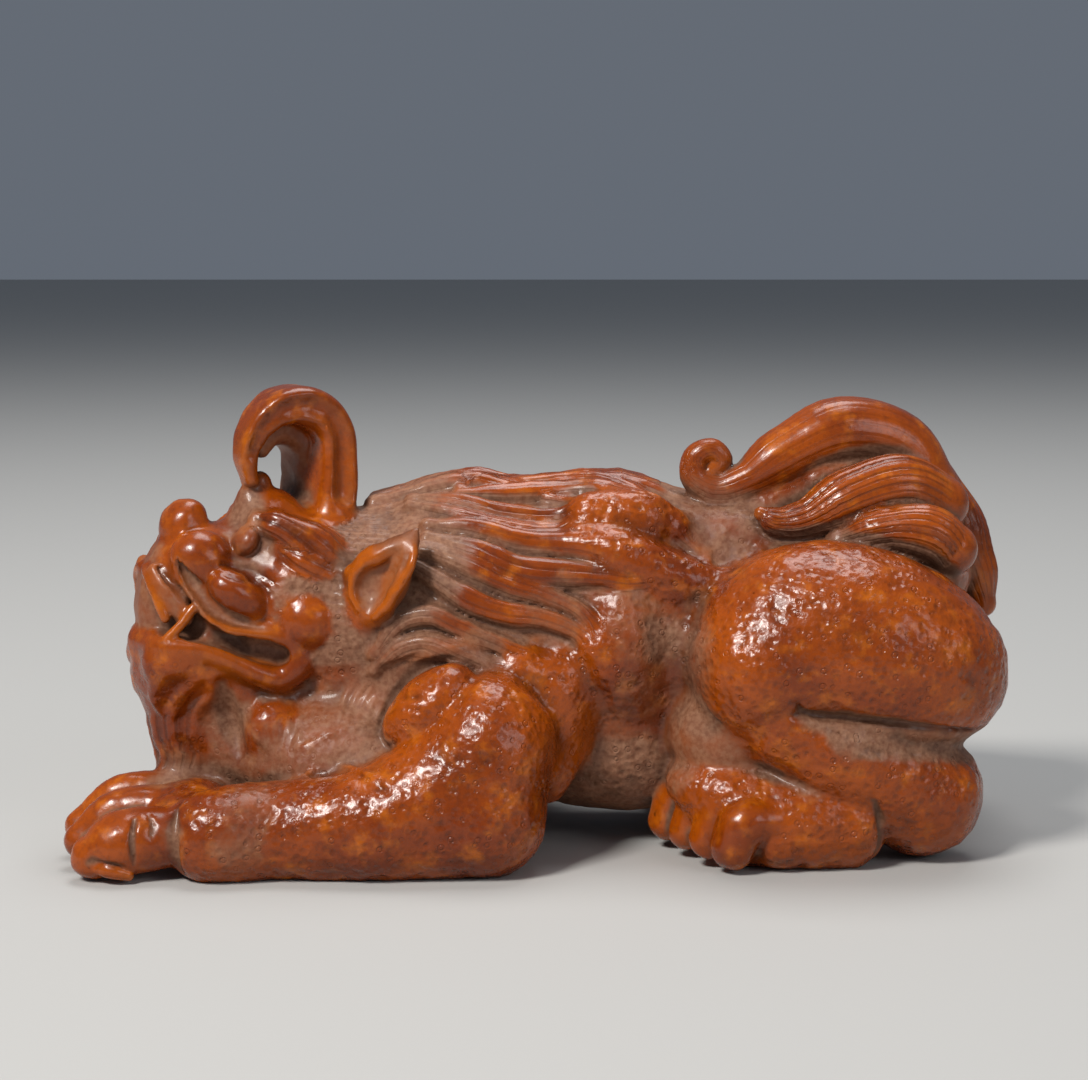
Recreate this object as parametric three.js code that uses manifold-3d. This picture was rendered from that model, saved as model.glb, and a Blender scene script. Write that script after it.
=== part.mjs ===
import * as THREE from 'three';
import Module from 'manifold-3d';

// Driving sizes in millimetres: the finished figure's length, width and height over all.
// The carving below is laid out in shares of these: its places and radii are written for a figure
// about 98 long, and the finished skin is brought to exactly these three sizes.
const FIGURE_LENGTH = 98;
const FIGURE_WIDTH = 52;
const FIGURE_HEIGHT = 48;

// Thickness of the smaller carved forms, in the same millimetres
const HORN_THICK = 4.2;
const EYE_BALL = 3.5;
const LIP_THICK = 2.3;
const TOE_THICK = 4.4;
const LOCK_THICK = 5;
const TAIL_THICK = 7.4;

// Meshing: cell of the sampling grid and the number of faces left on the solid
const GRID_CELL = 0.75;
const FACE_COUNT = 9400;

const DEGREE = Math.PI / 180;

// Small vector helpers on plain arrays
const plus = (a, b) => [a[0] + b[0], a[1] + b[1], a[2] + b[2]];
const minus = (a, b) => [a[0] - b[0], a[1] - b[1], a[2] - b[2]];
const times = (a, s) => [a[0] * s, a[1] * s, a[2] * s];
const dot = (a, b) => a[0] * b[0] + a[1] * b[1] + a[2] * b[2];
const cross = (a, b) => [
  a[1] * b[2] - a[2] * b[1],
  a[2] * b[0] - a[0] * b[2],
  a[0] * b[1] - a[1] * b[0],
];
const unit = (a) => times(a, 1 / Math.hypot(...a));
const blendOf = (a, b, t) => a + (b - a) * t;

// Rounded joining of two distances over a width k, and its opposite for cutting
function joinSoft(a, b, k) {
  const h = Math.max(k - Math.abs(a - b), 0) / k;
  return Math.min(a, b) - h * h * k * 0.25;
}

function cutSoft(a, b, k) {
  return -joinSoft(-a, b, k);
}

// An egg: an ellipsoid with half axes r, turned about Z, then pitched about Y, then rolled about X
function egg(centre, r, turn = [0, 0, 0]) {
  const euler = new THREE.Euler(turn[0] * DEGREE, turn[1] * DEGREE, turn[2] * DEGREE, 'ZYX');
  const m = new THREE.Matrix4().makeRotationFromEuler(euler).elements;
  const axes = [[m[0], m[1], m[2]], [m[4], m[5], m[6]], [m[8], m[9], m[10]]];
  const reach = Math.max(...r);
  const smallest = Math.min(...r);
  const distance = (p) => {
    const q = minus(p, centre);
    const k = axes.map((axis, i) => dot(q, axis) / r[i]);
    const near = Math.hypot(...k);
    const steep = Math.hypot(k[0] / r[0], k[1] / r[1], k[2] / r[2]);
    return steep < 1e-6 ? -smallest : near * (near - 1) / steep;
  };
  return { distance, low: centre.map((v) => v - reach), high: centre.map((v) => v + reach) };
}

// A smooth run of points through a few guide points
function smoothRun(guide, steps) {
  const curve = new THREE.CatmullRomCurve3(guide.map((p) => new THREE.Vector3(...p)), false, 'centripetal');
  const run = [];
  for (let i = 0; i <= steps; i += 1) {
    const p = curve.getPoint(i / steps);
    run.push([p.x, p.y, p.z]);
  }
  return run;
}

// A limb: a rod through guide points [x, y, z, radius]. Its section is round, or pressed to flat of
// its thickness along facing, or stretched along facing to each side by wide times its radius.
function limb(guide, { flat = 1, wide = 0, facing = [0, 1, 0], steps = 6 } = {}) {
  const count = Math.round((guide.length - 1) * steps);
  const run = smoothRun(guide.map((g) => g.slice(0, 3)), count);
  const radii = run.map((p, i) => {
    const place = (i / count) * (guide.length - 1);
    const k = Math.min(Math.floor(place), guide.length - 2);
    const t = place - k;
    return blendOf(guide[k][3], guide[k + 1][3], t * t * (3 - 2 * t));
  });
  const thin = unit(facing);
  const reach = Math.max(...radii) * (1 + wide);
  const low = [0, 1, 2].map((i) => Math.min(...run.map((p) => p[i])) - reach);
  const high = [0, 1, 2].map((i) => Math.max(...run.map((p) => p[i])) + reach);
  const distance = (p) => {
    let best = Infinity;
    for (let i = 0; i < count; i += 1) {
      const a = run[i];
      const ab = minus(run[i + 1], a);
      const ap = minus(p, a);
      const t = Math.min(Math.max(dot(ap, ab) / dot(ab, ab), 0), 1);
      const off = minus(ap, times(ab, t));
      const along = dot(off, thin);
      const radius = blendOf(radii[i], radii[i + 1], t);
      const across = Math.max(Math.abs(along) - wide * radius, 0) / flat;
      const spread = Math.sqrt(Math.max(dot(off, off) - along * along, 0) + across * across);
      const d = (spread - radius) * flat;
      if (d < best) best = d;
    }
    return best;
  };
  return { distance, low, high };
}

// The carving, form by form: each is joined to, or cut from, what is there before it
const forms = [];
const add = (shape, soft) => forms.push({ shape, soft, change: joinSoft });
const cut = (shape, soft) => forms.push({ shape, soft, change: cutSoft });

// Places are given for the animal's left side, toward -Y; side -1 keeps them, side 1 mirrors them
const sided = (p, side) => [p[0], -p[1] * side, ...p.slice(2)];
const sidedAll = (guide, side) => guide.map((p) => sided(p, side));

// Trunk: chest, middle, rump, belly and the neck rising into the head
function carveTrunk() {
  add(egg([-9, 0, 19.4], [14, 14.3, 17.5]), 5);
  add(egg([6, 0, 21.3], [17, 13.8, 16.4]), 5);
  add(egg([27, 0, 21], [17, 13, 13.5]), 5);
  add(egg([9, 0, 8.9], [12, 11, 6.4]), 4);
  add(limb([[-10, 0, 21.5, 13.5], [-18, -2, 23, 11.8], [-25, -4, 24, 10]]), 5);
  // the web of wood between chest and forearms
  add(egg([-20, -8, 9.5], [13, 10.5, 8]), 3);
  add(egg([-16, 10, 9], [11, 8, 7]), 3);
}

// Hind leg, given for the left side: thigh, knee, shank folded under it, foot with four toes
const HIND_TOES = [[11.2, -9.4], [13.1, -13.4], [15, -17.2], [17.3, -20.2]];
function carveHindLeg(side) {
  add(egg(sided([32.4, -12.5, 21.6], side), [15.8, 10.2, 10.6], [0, 17, 0]), 2);
  add(egg(sided([22, -14.4, 20.2], side), [7, 8.4, 7.6]), 3);
  add(limb(sidedAll([[25, -16.6, 14.6, 5], [31, -16.2, 11.2, 5.6], [39, -12.8, 6.6, 6.5]], side)), 1.2);
  // crease between thigh and shank, and the web of wood in front of the knee
  const crease = [
    [25.5, -22, 16.3, 1.2], [30.6, -22.6, 15.6, 2.2], [36.1, -22.6, 14.7, 2.5],
    [40.5, -21.6, 13.9, 2.5], [45, -19.3, 13.1, 2.4], [48.6, -13, 12.5, 2.2], [49.5, -6, 12.4, 2],
  ];
  cut(limb(sidedAll(crease, side), { flat: 0.42, facing: [0, side * 0.25, 1] }), 0.4);
  add(egg(sided([20, -11.8, 12.6], side), [7, 6, 5.4]), 1.6);
  add(limb(sidedAll([[20.5, -15, 5, 5.4], [26, -16.5, 4.7, 5.1], [30.8, -16.6, 4.2, 4.4]], side)), 0.7);
  add(egg(sided([19.5, -13, 7], side), [7, 6, 3.8], [0, 8, 0]), 1.2);
  HIND_TOES.forEach(([x, y], i) => {
    const r = TOE_THICK * (i === 3 ? 0.56 : 0.48);
    const toe = [[5.4, 0.4, 8 - i * 0.9, 0.8], [3, 0, 6.6 - i * 0.5, 1], [1.8, 0, 2.8, 0.95]];
    add(limb(sidedAll(toe.map(([a, b, z, share]) => [x + a, y + b, z, share * r]), side)), 0.3);
  });
}

// Foreleg: shoulder knob, upper arm, forearm along the ground, and a paw set back by tuck
function carveForeleg(side, tuck) {
  const back = (p) => [p[0] + tuck, ...p.slice(1)];
  add(egg(sided([-5.8, -17.5, 10.4], side), [6.4, 7.4, 9.4]), 1.5);
  const upper = [[-4.9, -17.8, 12.8, 6], [-9.5, -19, 8.8, 6.3], back([-17, -20.4, 5.2, 5.6])];
  const fore = [[-6, -19.5, 5.6, 6.2], back([-17, -20.5, 4.9, 5.5]), back([-29, -20.5, 4.4, 4.9])];
  add(limb(sidedAll(upper, side)), 1.5);
  add(egg(sided([-11.6, -17, 16.4], side), [5.7, 3.9, 3.3], [0, -40, 0]), 0.5);
  add(egg(sided([1.4, -12.6, 13.6], side), [3.2, 3, 8.2], [0, 8, 0]), 2.2);
  add(limb(sidedAll(fore, side)), 1.2);
  // wrist, the near finger joint, and the pad of the paw
  add(egg(sided(back([-33, -21.9, 4.2]), side), [5.2, 4.5, 4.7]), 2.4);
  add(egg(sided(back([-36, -16.5, 4.4]), side), [5, 6.6, 4.4]), 1);
  const toes = [
    [[-38, -11.8, 6.4, 0.5], [-43.6, -12.2, 6.3, 0.48], [-48, -12.8, 3.2, 0.41]],
    [[-38, -16.6, 6, 0.54], [-43.4, -17, 5.6, 0.52], [-47, -17.6, 2.8, 0.43]],
    [[-37.6, -21.6, 4.2, 0.7], [-42, -22.4, 3.7, 0.75], [-45, -22.6, 2.4, 0.52]],
  ].map((toe) => toe.map(([x, y, z, share]) => back([x, y, z, share * TOE_THICK])));
  toes.forEach((toe) => add(limb(sidedAll(toe, side)), 0.35));
}

// Head frame: thrown back and turned a little to the animal's left
const HEAD = { at: [-29, -5, 24], lift: 36 * DEGREE, turn: 20 * DEGREE };
const HEAD_FRONT = [
  -Math.cos(HEAD.lift) * Math.cos(HEAD.turn),
  -Math.cos(HEAD.lift) * Math.sin(HEAD.turn),
  Math.sin(HEAD.lift),
];
const HEAD_LEFT = [Math.sin(HEAD.turn), -Math.cos(HEAD.turn), 0];
const HEAD_UP = cross(HEAD_FRONT, HEAD_LEFT);

// A point of the head given as front, left, up; a fourth number is a radius and is kept
function onHead(p) {
  const aside = plus(times(HEAD_LEFT, p[1]), times(HEAD_UP, p[2]));
  const q = plus(HEAD.at, plus(times(HEAD_FRONT, p[0]), aside));
  return [...q, ...p.slice(3)];
}

// An egg whose half axes run front, left and up of the head, pitched by nod degrees
function headEgg(centre, r, nod = 0) {
  const shape = egg([0, 0, 0], r, [0, -nod, 0]);
  const middle = onHead(centre);
  const reach = Math.max(...r);
  const distance = (p) => {
    const q = minus(p, middle);
    return shape.distance([dot(q, HEAD_FRONT), dot(q, HEAD_LEFT), dot(q, HEAD_UP)]);
  };
  return { distance, low: middle.map((v) => v - reach), high: middle.map((v) => v + reach) };
}

const headLimb = (guide, section) => limb(guide.map(onHead), section);

// A run of points of the head carried to either side, its radii times thick
const mirrored = (guide, s, thick = 1) => guide.map((p) => [p[0], p[1] * s, p[2], p[3] * thick]);

const BROW = [[8.2, 4.4, 7.3, 0.9], [6, 6, 7.9, 1.8], [2.6, 7, 8.3, 2.4], [-1, 7.5, 8, 2.1]];
const LOWER_BROW = [[5, 6.8, 6, 0.8], [2, 8.2, 6.6, 1.5], [-1.6, 8, 7, 1.2]];
function carveHead() {
  // skull, forehead, snout, jaw, chin
  add(headEgg([0, 0, 3.5], [9, 8.4, 8.6]), 3);
  add(headEgg([6, 0, 7.4], [4, 4.8, 4.2]), 1.5);
  add(headLimb([[9, 0.8, 9, 1.4], [9.2, 0.8, 10.9, 1]]), 1.2);
  add(headEgg([8, 0, 0.3], [6.2, 6.2, 4.8]), 2);
  add(headEgg([2, 0, -8], [8.6, 7.6, 4.4]), 2);
  add(headEgg([5.6, 0, -4.5], [6.2, 5.8, 4]), 1);
  add(headEgg([5.8, 0, -10.2], [3.8, 6, 4.6]), 1.5);
  add(headEgg([6.6, 0, -9.4], [4, 5.2, 3.2]), 1.2);
  // beard under the chin, throat filled back to the chest, lump of fur behind the jaw
  add(limb([[-38.2, -9.4, 15, 3.5], [-37.8, -9.8, 8.6, 2.7]]), 1.2);
  add(egg([-30.5, -6.5, 12.5], [8.3, 6.6, 10]), 2.5);
  add(egg([-27.8, -13.2, 13.2], [3.2, 2.6, 3.4]), 0.8);
  // nose
  add(headEgg([13.3, 0, 2.7], [2.4, 2.8, 2.9]), 0.8);
  for (const s of [-1, 1]) {
    add(headEgg([10.1, 3.9 * s, 0.8], [4, 2.7, 2.8], 4), 0.4);
    // cheeks, eye, brow
    add(headEgg([5.9, 7 * s, -0.3], [3.6, 2.6, 2.2]), 0.4);
    add(headEgg([-1.4, 8.9 * s, 1.5], [3, 2.3, 2.9]), 0.3);
    add(headEgg([8, 5 * s, 4.8], [0.4, 0.5, 0.43].map((r) => r * EYE_BALL)), 0.25);
    add(headLimb(mirrored(BROW, s)), 0.8);
    add(headLimb(mirrored(LOWER_BROW, s)), 0.5);
  }
}

// Mouth: lips rolled round it, a slot with a crisp edge, a tusk each side and a tongue behind them
const LIP_BED = [
  [11, 4, -1.6, 0.9], [9.2, 5, -2, 1], [7.4, 5.9, -2.9, 1], [5.4, 6.6, -3, 1.1], [3, 7.2, -2, 1.2],
];
const UPPER_LIP = [
  [13.6, 1.4, -1.6, 0.3], [12.6, 3.1, -1.9, 0.32], [11.1, 4.6, -2.3, 0.34], [9.7, 5.6, -2.8, 0.36],
  [7.6, 6.5, -3.9, 0.38], [5.5, 7.2, -4, 0.4], [3.3, 7.9, -2.9, 0.44], [1, 8.4, -1.7, 0.5],
  [-1.6, 8.6, -1.6, 0.54], [-3, 8.5, -3, 0.56],
];
const LOWER_LIP = [
  [-3, 8.5, -3, 0.56], [-2.4, 8.5, -4.9, 0.54], [0, 8.4, -5.8, 0.5], [2.4, 8, -6.1, 0.46],
  [5.4, 7.2, -6.7, 0.42], [7.4, 6.4, -7.7, 0.4], [9.1, 5.5, -8.8, 0.4], [9.6, 4, -9, 0.42],
  [10, 0, -9.4, 0.42],
];
const MOUTH = [
  [-0.6, 9.2, -3.1, 1.1], [1, 9.1, -3.6, 1.3], [2.6, 8.8, -4.2, 1.1], [4.6, 8.1, -4.9, 0.85],
  [6.6, 7.5, -5.3, 1.05], [8.3, 6.7, -5.6, 1.5], [10.2, 5.4, -5.3, 2.1], [12, 3.9, -4.9, 2.3],
  [13.2, 0, -4.9, 2.4],
];
const TONGUE = [[7, 0, -7.4, 2.4], [9.6, 0, -6.2, 2.8], [11.3, 0, -3.4, 2.8], [12.3, 0, -0.8, 2.2]];
const TUSK = [[8.9, 6, -3.8, 0.8], [9.3, 5.9, -8, 0.7]];
function carveMouth() {
  for (const s of [-1, 1]) {
    add(headLimb(mirrored(LIP_BED, s)), 0.8);
    add(headLimb(mirrored(UPPER_LIP, s, LIP_THICK)), 0.6);
    add(headLimb(mirrored(LOWER_LIP, s, LIP_THICK)), 1.5);
  }
  [-1, 1].forEach((s) => cut(headLimb(mirrored(MOUTH, s), { wide: 0.9, facing: HEAD_LEFT }), 0.15));
  add(headLimb(TONGUE, { wide: 0.3, facing: HEAD_LEFT }), 0.4);
  [-1, 1].forEach((s) => add(headLimb(mirrored(TUSK, s)), 0.2));
}

// Horn: a broad band rising from the back of the head and curling forward and down to the brow
const HORN = {
  at: [-26.6, -5, 41.6],
  turn: 32 * DEGREE,
  ring: 4.6,
  thick: HORN_THICK / 2,
  tip: HORN_THICK / 6,
  wide: 0.85,
};
function carveHorn() {
  const ahead = [-Math.cos(HORN.turn), -Math.sin(HORN.turn), 0];
  const place = (across, up, r) => [
    HORN.at[0] + ahead[0] * across, HORN.at[1] + ahead[1] * across, HORN.at[2] + up, r,
  ];
  const guide = [
    place(-HORN.ring * 0.7, -9, HORN.thick + 0.5),
    place(-HORN.ring * 0.93, -4.5, HORN.thick + 0.2),
  ];
  for (let i = 0; i <= 8; i += 1) {
    const along = i / 8;
    const angle = (-8 + 220 * along) * DEGREE;
    const ring = HORN.ring + 3.6 * Math.max(along - 0.7, 0);
    const r = blendOf(HORN.thick, HORN.tip, Math.max(along - 0.4, 0) / 0.6);
    guide.push(place(-Math.cos(angle) * ring, Math.sin(angle) * ring, r));
  }
  const facing = [-Math.sin(HORN.turn), Math.cos(HORN.turn), 0];
  add(limb(guide, { wide: HORN.wide, facing }), 0.8);
  // far rim of the band, curled inward so that it half closes the ring
  const rim = guide.slice(0, 9).map((p) => {
    const inward = times(unit(minus(HORN.at, p.slice(0, 3))), 0.34 * HORN.ring);
    const aside = plus(times(facing, (HORN.wide + 0.75) * p[3]), [0, 0, -1.2]);
    return [...plus(plus(p.slice(0, 3), inward), aside), 0.8 * p[3]];
  });
  add(limb(rim, { wide: 0.7, facing }), 0.8);
  // hollow down the outer side of the band
  const hollow = guide.slice(1, 10).map((p) => {
    const aside = p[3] * (HORN.wide + 1) + 0.25;
    return [...minus(p.slice(0, 3), times(facing, aside)), 0.6 * p[3]];
  });
  cut(limb(hollow), 0.7);
}

// Ear: a leaf with a pointed tip, hollow inside a raised rim; the right one lies closer to the head
const EAR = [
  [-18.4, -13, 25, 1.8], [-17.7, -13.9, 27.2, 3], [-16.7, -14.5, 29.2, 3.4],
  [-15.1, -14.7, 31.2, 2.3], [-13.8, -14.6, 32.8, 1.2], [-12.9, -14.4, 34.1, 0.4],
];
const EAR_CORNER = [[-19.7, -13.2, 29.6, 0.9], [-17, -14.2, 29.4, 2.4]];
const EAR_ROOT = [[-17.5, -11.5, 28, 2.6], [-15.5, -11.5, 31, 1.4]];
const EAR_MOVED = [2.6, 1.4, 0.4];
function carveEar(side) {
  const facing = sided([-0.42, -0.9, 0.12], side);
  const move = (p) => (side < 0 ? p : [...plus(p, EAR_MOVED), p[3]]);
  const place = (guide) => sidedAll(guide.map(move), side);
  const inner = place(EAR.slice(0, 5)).map((p) => [...plus(p, times(facing, 1.5)), 0.64 * p[3]]);
  add(limb(place(EAR_ROOT)), 1);
  add(limb(place(EAR), { flat: 0.42, facing }), 0.4);
  add(limb(place(EAR_CORNER), { flat: 0.5, facing }), 0.4);
  cut(limb(inner, { flat: 0.7, facing }), 0.25);
}

// Tail: locks swept up and forward from the rump, tips curled
function carveTail() {
  const lock = (guide, side = -1) => {
    add(limb(sidedAll(guide.map(([x, y, z, share]) => [x, y, z, share * TAIL_THICK]), side)), 0.5);
  };
  add(egg([35, 0, 31], [9.5, 8, 7], [0, 8, 0]), 3);
  add(egg([42, -1, 28.6], [3.6, 8, 4.6]), 1.5);
  add(egg([20, 0, 32.2], [9, 7.4, 4.3]), 2);
  lock([
    [41.2, 0.5, 36.6, 0.46], [38, 0.3, 41.4, 0.49], [31.6, -1, 43, 0.51], [25.5, -2.2, 40.6, 0.42],
    [21.2, -3, 37.9, 0.28], [18.2, -3, 37, 0.24], [16, -3, 38.3, 0.21], [16, -3, 40.4, 0.19],
    [17.7, -3, 41.3, 0.17], [18.9, -3, 40.2, 0.15], [18, -3, 39.3, 0.13],
  ]);
  for (const side of [-1, 1]) {
    lock([
      [41.8, -3.4, 35.6, 0.43], [37.4, -5.4, 37.6, 0.47], [32, -6.6, 36.6, 0.42], [27, -7.2, 34.4, 0.27],
      [24.2, -7.4, 34.2, 0.2], [22.6, -7.4, 35, 0.1],
    ], side);
    const low = [[30.6, -8, 32.4, 0.15], [35, -8.8, 33.6, 0.31], [40, -8.6, 33, 0.42], [42.4, -8, 31.4, 0.38]];
    lock(low, side);
  }
  lock([[41.6, 1.5, 37, 0.41], [44.6, 1.5, 33, 0.4], [46.4, 1, 28.6, 0.34], [47.4, 0.6, 24.4, 0.2]]);
}

// Distance from the middle line of the body out to the trunk's skin, going along way
const TRUNK_MIDDLE = 20.5;
const TRUNK_FORMS = 7;
function trunkReach(x, way) {
  let near = 0;
  let far = FIGURE_WIDTH;
  while (far - near > 0.01) {
    const reach = (near + far) / 2;
    const p = [x, way[1] * reach, TRUNK_MIDDLE + way[2] * reach];
    const joined = (sum, form) => joinSoft(sum, form.shape.distance(p), form.soft);
    const d = forms.slice(0, TRUNK_FORMS).reduce(joined, FIGURE_HEIGHT);
    if (d < 0) near = reach;
    else far = reach;
  }
  return near;
}

// A point of the trunk's skin, sunk by SUNK of the radius that is laid there
const SUNK = 0.05;
function onTrunk(x, angle, share) {
  const a = angle * DEGREE;
  const radius = share * LOCK_THICK;
  const way = unit([0, -Math.cos(a), 1.23 * Math.sin(a)]);
  const out = trunkReach(x, way) - SUNK * radius;
  return [x, way[1] * out, TRUNK_MIDDLE + way[2] * out, radius];
}

// Mane: locks swept back from the head, each given as x, angle and radius in shares of LOCK_THICK
const MANE = [
  [[-18, 82, 0.36], [-8, 90, 0.6], [-3, 86, 0.48], [3, 68, 0.2]],
  [[-9, 74, 0.24], [-4.7, 79, 0.46], [1, 83, 0.52], [6, 78, 0.46], [11, 66, 0.36], [17, 44, 0.18]],
  [[2, 86, 0.3], [8, 88, 0.5], [14, 82, 0.44], [21, 70, 0.2]],
  [[-14, 68, 0.28], [-8.7, 59, 0.4], [-4.6, 55, 0.42], [1, 54, 0.36], [6, 59, 0.16]],
  [
    [-12, 47, 0.3], [-7, 43, 0.5], [-2.5, 38.5, 0.56], [2, 37, 0.54], [6, 34, 0.42], [9, 31, 0.28],
    [13, 33, 0.12],
  ],
  [
    [-15, 39, 0.26], [-11, 32, 0.42], [-7.6, 26, 0.5], [-4, 21.5, 0.46], [0, 19, 0.38], [4, 13, 0.32],
    [6.5, 1, 0.2],
  ],
  [[-17.5, 0, 0.24], [-14.7, 9, 0.36], [-11.6, 11, 0.4], [-8.6, 7.5, 0.38], [-5, 3, 0.36], [-1.4, -1, 0.24]],
];
// Bosses of the back and flank, between the mane, the arm and the haunch
const BOSSES = [
  [[4.8, 57, 0.5], [10, 57, 0.62], [13, 57, 0.4]],
  [[3.7, 45, 0.3], [8, 39, 0.5], [14, 32, 0.5], [18, 31, 0.3]],
  [[-2.5, -3, 0.5], [0.5, -8, 0.5]],
  [[5.5, 4, 0.34], [6.5, -3, 0.34]],
];
// A lock is carved as two strands side by side that come together at both ends
const STRANDS = [-1, 1];
const STRAND_SHARE = 0.62;
const STRAND_APART = 11;
function carveMane() {
  for (const side of [-1, 1]) {
    MANE.forEach((lock) => STRANDS.forEach((strand) => {
      const guide = lock.map(([x, angle, share]) => (
        onTrunk(x, angle + strand * STRAND_APART * share, share * STRAND_SHARE)
      ));
      add(limb(sidedAll(guide, side)), 0.2);
    }));
    BOSSES.forEach((boss) => add(limb(boss.map((g) => sided(onTrunk(...g), side))), 1.4));
    // fold of hide on the flank, in front of the haunch
    add(egg(sided([8.2, -9.6, 21.5], side), [4.4, 5.7, 8]), 1.2);
  }
}

function carveFigure() {
  carveTrunk();
  carveMane();
  [-1, 1].forEach(carveHindLeg);
  carveForeleg(-1, 0);
  carveForeleg(1, 8);
  carveHead();
  carveMouth();
  carveHorn();
  [-1, 1].forEach(carveEar);
  carveTail();
}

carveFigure();

// The block of wood: samples of signed distance on a regular grid just larger than all the forms
const BLOCK_MARGIN = 3 * GRID_CELL;
const LOW = [0, 1, 2].map((i) => Math.min(...forms.map((form) => form.shape.low[i])) - BLOCK_MARGIN);
const HIGH = [0, 1, 2].map((i) => Math.max(...forms.map((form) => form.shape.high[i])) + BLOCK_MARGIN);
const COUNT = [0, 1, 2].map((i) => Math.ceil((HIGH[i] - LOW[i]) / GRID_CELL) + 1);
const STRIDE = [1, COUNT[0], COUNT[0] * COUNT[1]];
const field = new Float64Array(COUNT[0] * COUNT[1] * COUNT[2]).fill(FIGURE_HEIGHT / 8);

function placeOf(index) {
  const i = index % COUNT[0];
  const j = Math.floor(index / STRIDE[1]) % COUNT[1];
  const k = Math.floor(index / STRIDE[2]);
  return [LOW[0] + i * GRID_CELL, LOW[1] + j * GRID_CELL, LOW[2] + k * GRID_CELL];
}

function sample({ shape, soft, change }) {
  const reach = soft + 2;
  const from = shape.low.map((v, i) => Math.max(Math.floor((v - reach - LOW[i]) / GRID_CELL), 0));
  const to = shape.high.map((v, i) => Math.min(Math.ceil((v + reach - LOW[i]) / GRID_CELL), COUNT[i] - 1));
  for (let k = from[2]; k <= to[2]; k += 1) {
    for (let j = from[1]; j <= to[1]; j += 1) {
      for (let i = from[0]; i <= to[0]; i += 1) {
        const at = i + j * STRIDE[1] + k * STRIDE[2];
        field[at] = change(field[at], shape.distance(placeOf(at)), soft);
      }
    }
  }
}

// Samples joined to the start through neighbours that lie on the same side of the skin
function reachedFrom(start) {
  const inside = field[start] < 0;
  const reached = new Uint8Array(field.length);
  const waiting = [start];
  reached[start] = 1;
  while (waiting.length > 0) {
    const at = waiting.pop();
    STRIDE.flatMap((step) => [at - step, at + step]).forEach((next) => {
      if (next < 0 || next >= field.length || reached[next] || (field[next] < 0) !== inside) return;
      reached[next] = 1;
      waiting.push(next);
    });
  }
  return reached;
}

// One skin only: sealed pockets are filled with wood and loose crumbs are cleared away
function keepOneSkin() {
  const outside = reachedFrom(0);
  const deepest = field.reduce((best, d, at) => (d < field[best] ? at : best), 0);
  const wood = reachedFrom(deepest);
  field.forEach((d, at) => {
    if (d >= 0 && !outside[at]) field[at] = -GRID_CELL / 4;
    if (d < 0 && !wood[at]) field[at] = GRID_CELL / 4;
  });
}

// Skin of the block: every cell is split into six four-cornered pieces and each is sliced
const CORNER_RUNS = [[0, 1, 2], [0, 2, 1], [1, 0, 2], [1, 2, 0], [2, 0, 1], [2, 1, 0]];

function skinOfField() {
  const points = [];
  const faces = [];
  const known = new Map();
  const pointOn = (a, b) => {
    const key = Math.min(a, b) * field.length + Math.max(a, b);
    if (!known.has(key)) {
      const t = Math.min(Math.max(field[a] / (field[a] - field[b]), 0.08), 0.92);
      const pa = placeOf(a);
      known.set(key, points.length);
      points.push(plus(pa, times(minus(placeOf(b), pa), t)));
    }
    return known.get(key);
  };
  const addFace = (a, b, c, inside, outside) => {
    const normal = cross(minus(points[b], points[a]), minus(points[c], points[a]));
    const outward = minus(placeOf(outside), placeOf(inside));
    faces.push(dot(normal, outward) > 0 ? [a, b, c] : [a, c, b]);
  };
  const slice = (corners) => {
    const inside = corners.filter((c) => field[c] < 0);
    const outside = corners.filter((c) => field[c] >= 0);
    if (inside.length === 1 || outside.length === 1) {
      const [lone, rest] = inside.length === 1 ? [inside[0], outside] : [outside[0], inside];
      const [a, b, c] = rest.map((other) => pointOn(lone, other));
      addFace(a, b, c, inside[0], outside[0]);
    } else if (inside.length === 2) {
      const [p, q] = inside;
      const [r, s] = outside;
      const ring = [pointOn(p, r), pointOn(q, r), pointOn(q, s), pointOn(p, s)];
      addFace(ring[0], ring[1], ring[2], p, r);
      addFace(ring[0], ring[2], ring[3], p, r);
    }
  };
  for (let k = 0; k < COUNT[2] - 1; k += 1) {
    for (let j = 0; j < COUNT[1] - 1; j += 1) {
      for (let i = 0; i < COUNT[0] - 1; i += 1) {
        const first = i + j * STRIDE[1] + k * STRIDE[2];
        const last = first + STRIDE[0] + STRIDE[1] + STRIDE[2];
        let lowest = Infinity;
        let highest = -Infinity;
        for (let n = 0; n < 8; n += 1) {
          const at = first + (n & 1) * STRIDE[0] + ((n >> 1) & 1) * STRIDE[1] + (n >> 2) * STRIDE[2];
          lowest = Math.min(lowest, field[at]);
          highest = Math.max(highest, field[at]);
        }
        if (lowest >= 0 || highest < 0) continue;
        CORNER_RUNS.forEach(([a, b]) => {
          slice([first, first + STRIDE[a], first + STRIDE[a] + STRIDE[b], last]);
        });
      }
    }
  }
  return { points, faces };
}

// Squared-distance sums to the planes round a point, kept as ten numbers
function planeSum(normal, d, weight) {
  const [a, b, c] = normal;
  return [a * a, a * b, a * c, a * d, b * b, b * c, b * d, c * c, c * d, d * d].map((v) => v * weight);
}

function sumError(q, p) {
  const [x, y, z] = p;
  return q[0] * x * x + 2 * q[1] * x * y + 2 * q[2] * x * z + 2 * q[3] * x
    + q[4] * y * y + 2 * q[5] * y * z + 2 * q[6] * y
    + q[7] * z * z + 2 * q[8] * z + q[9];
}

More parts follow.
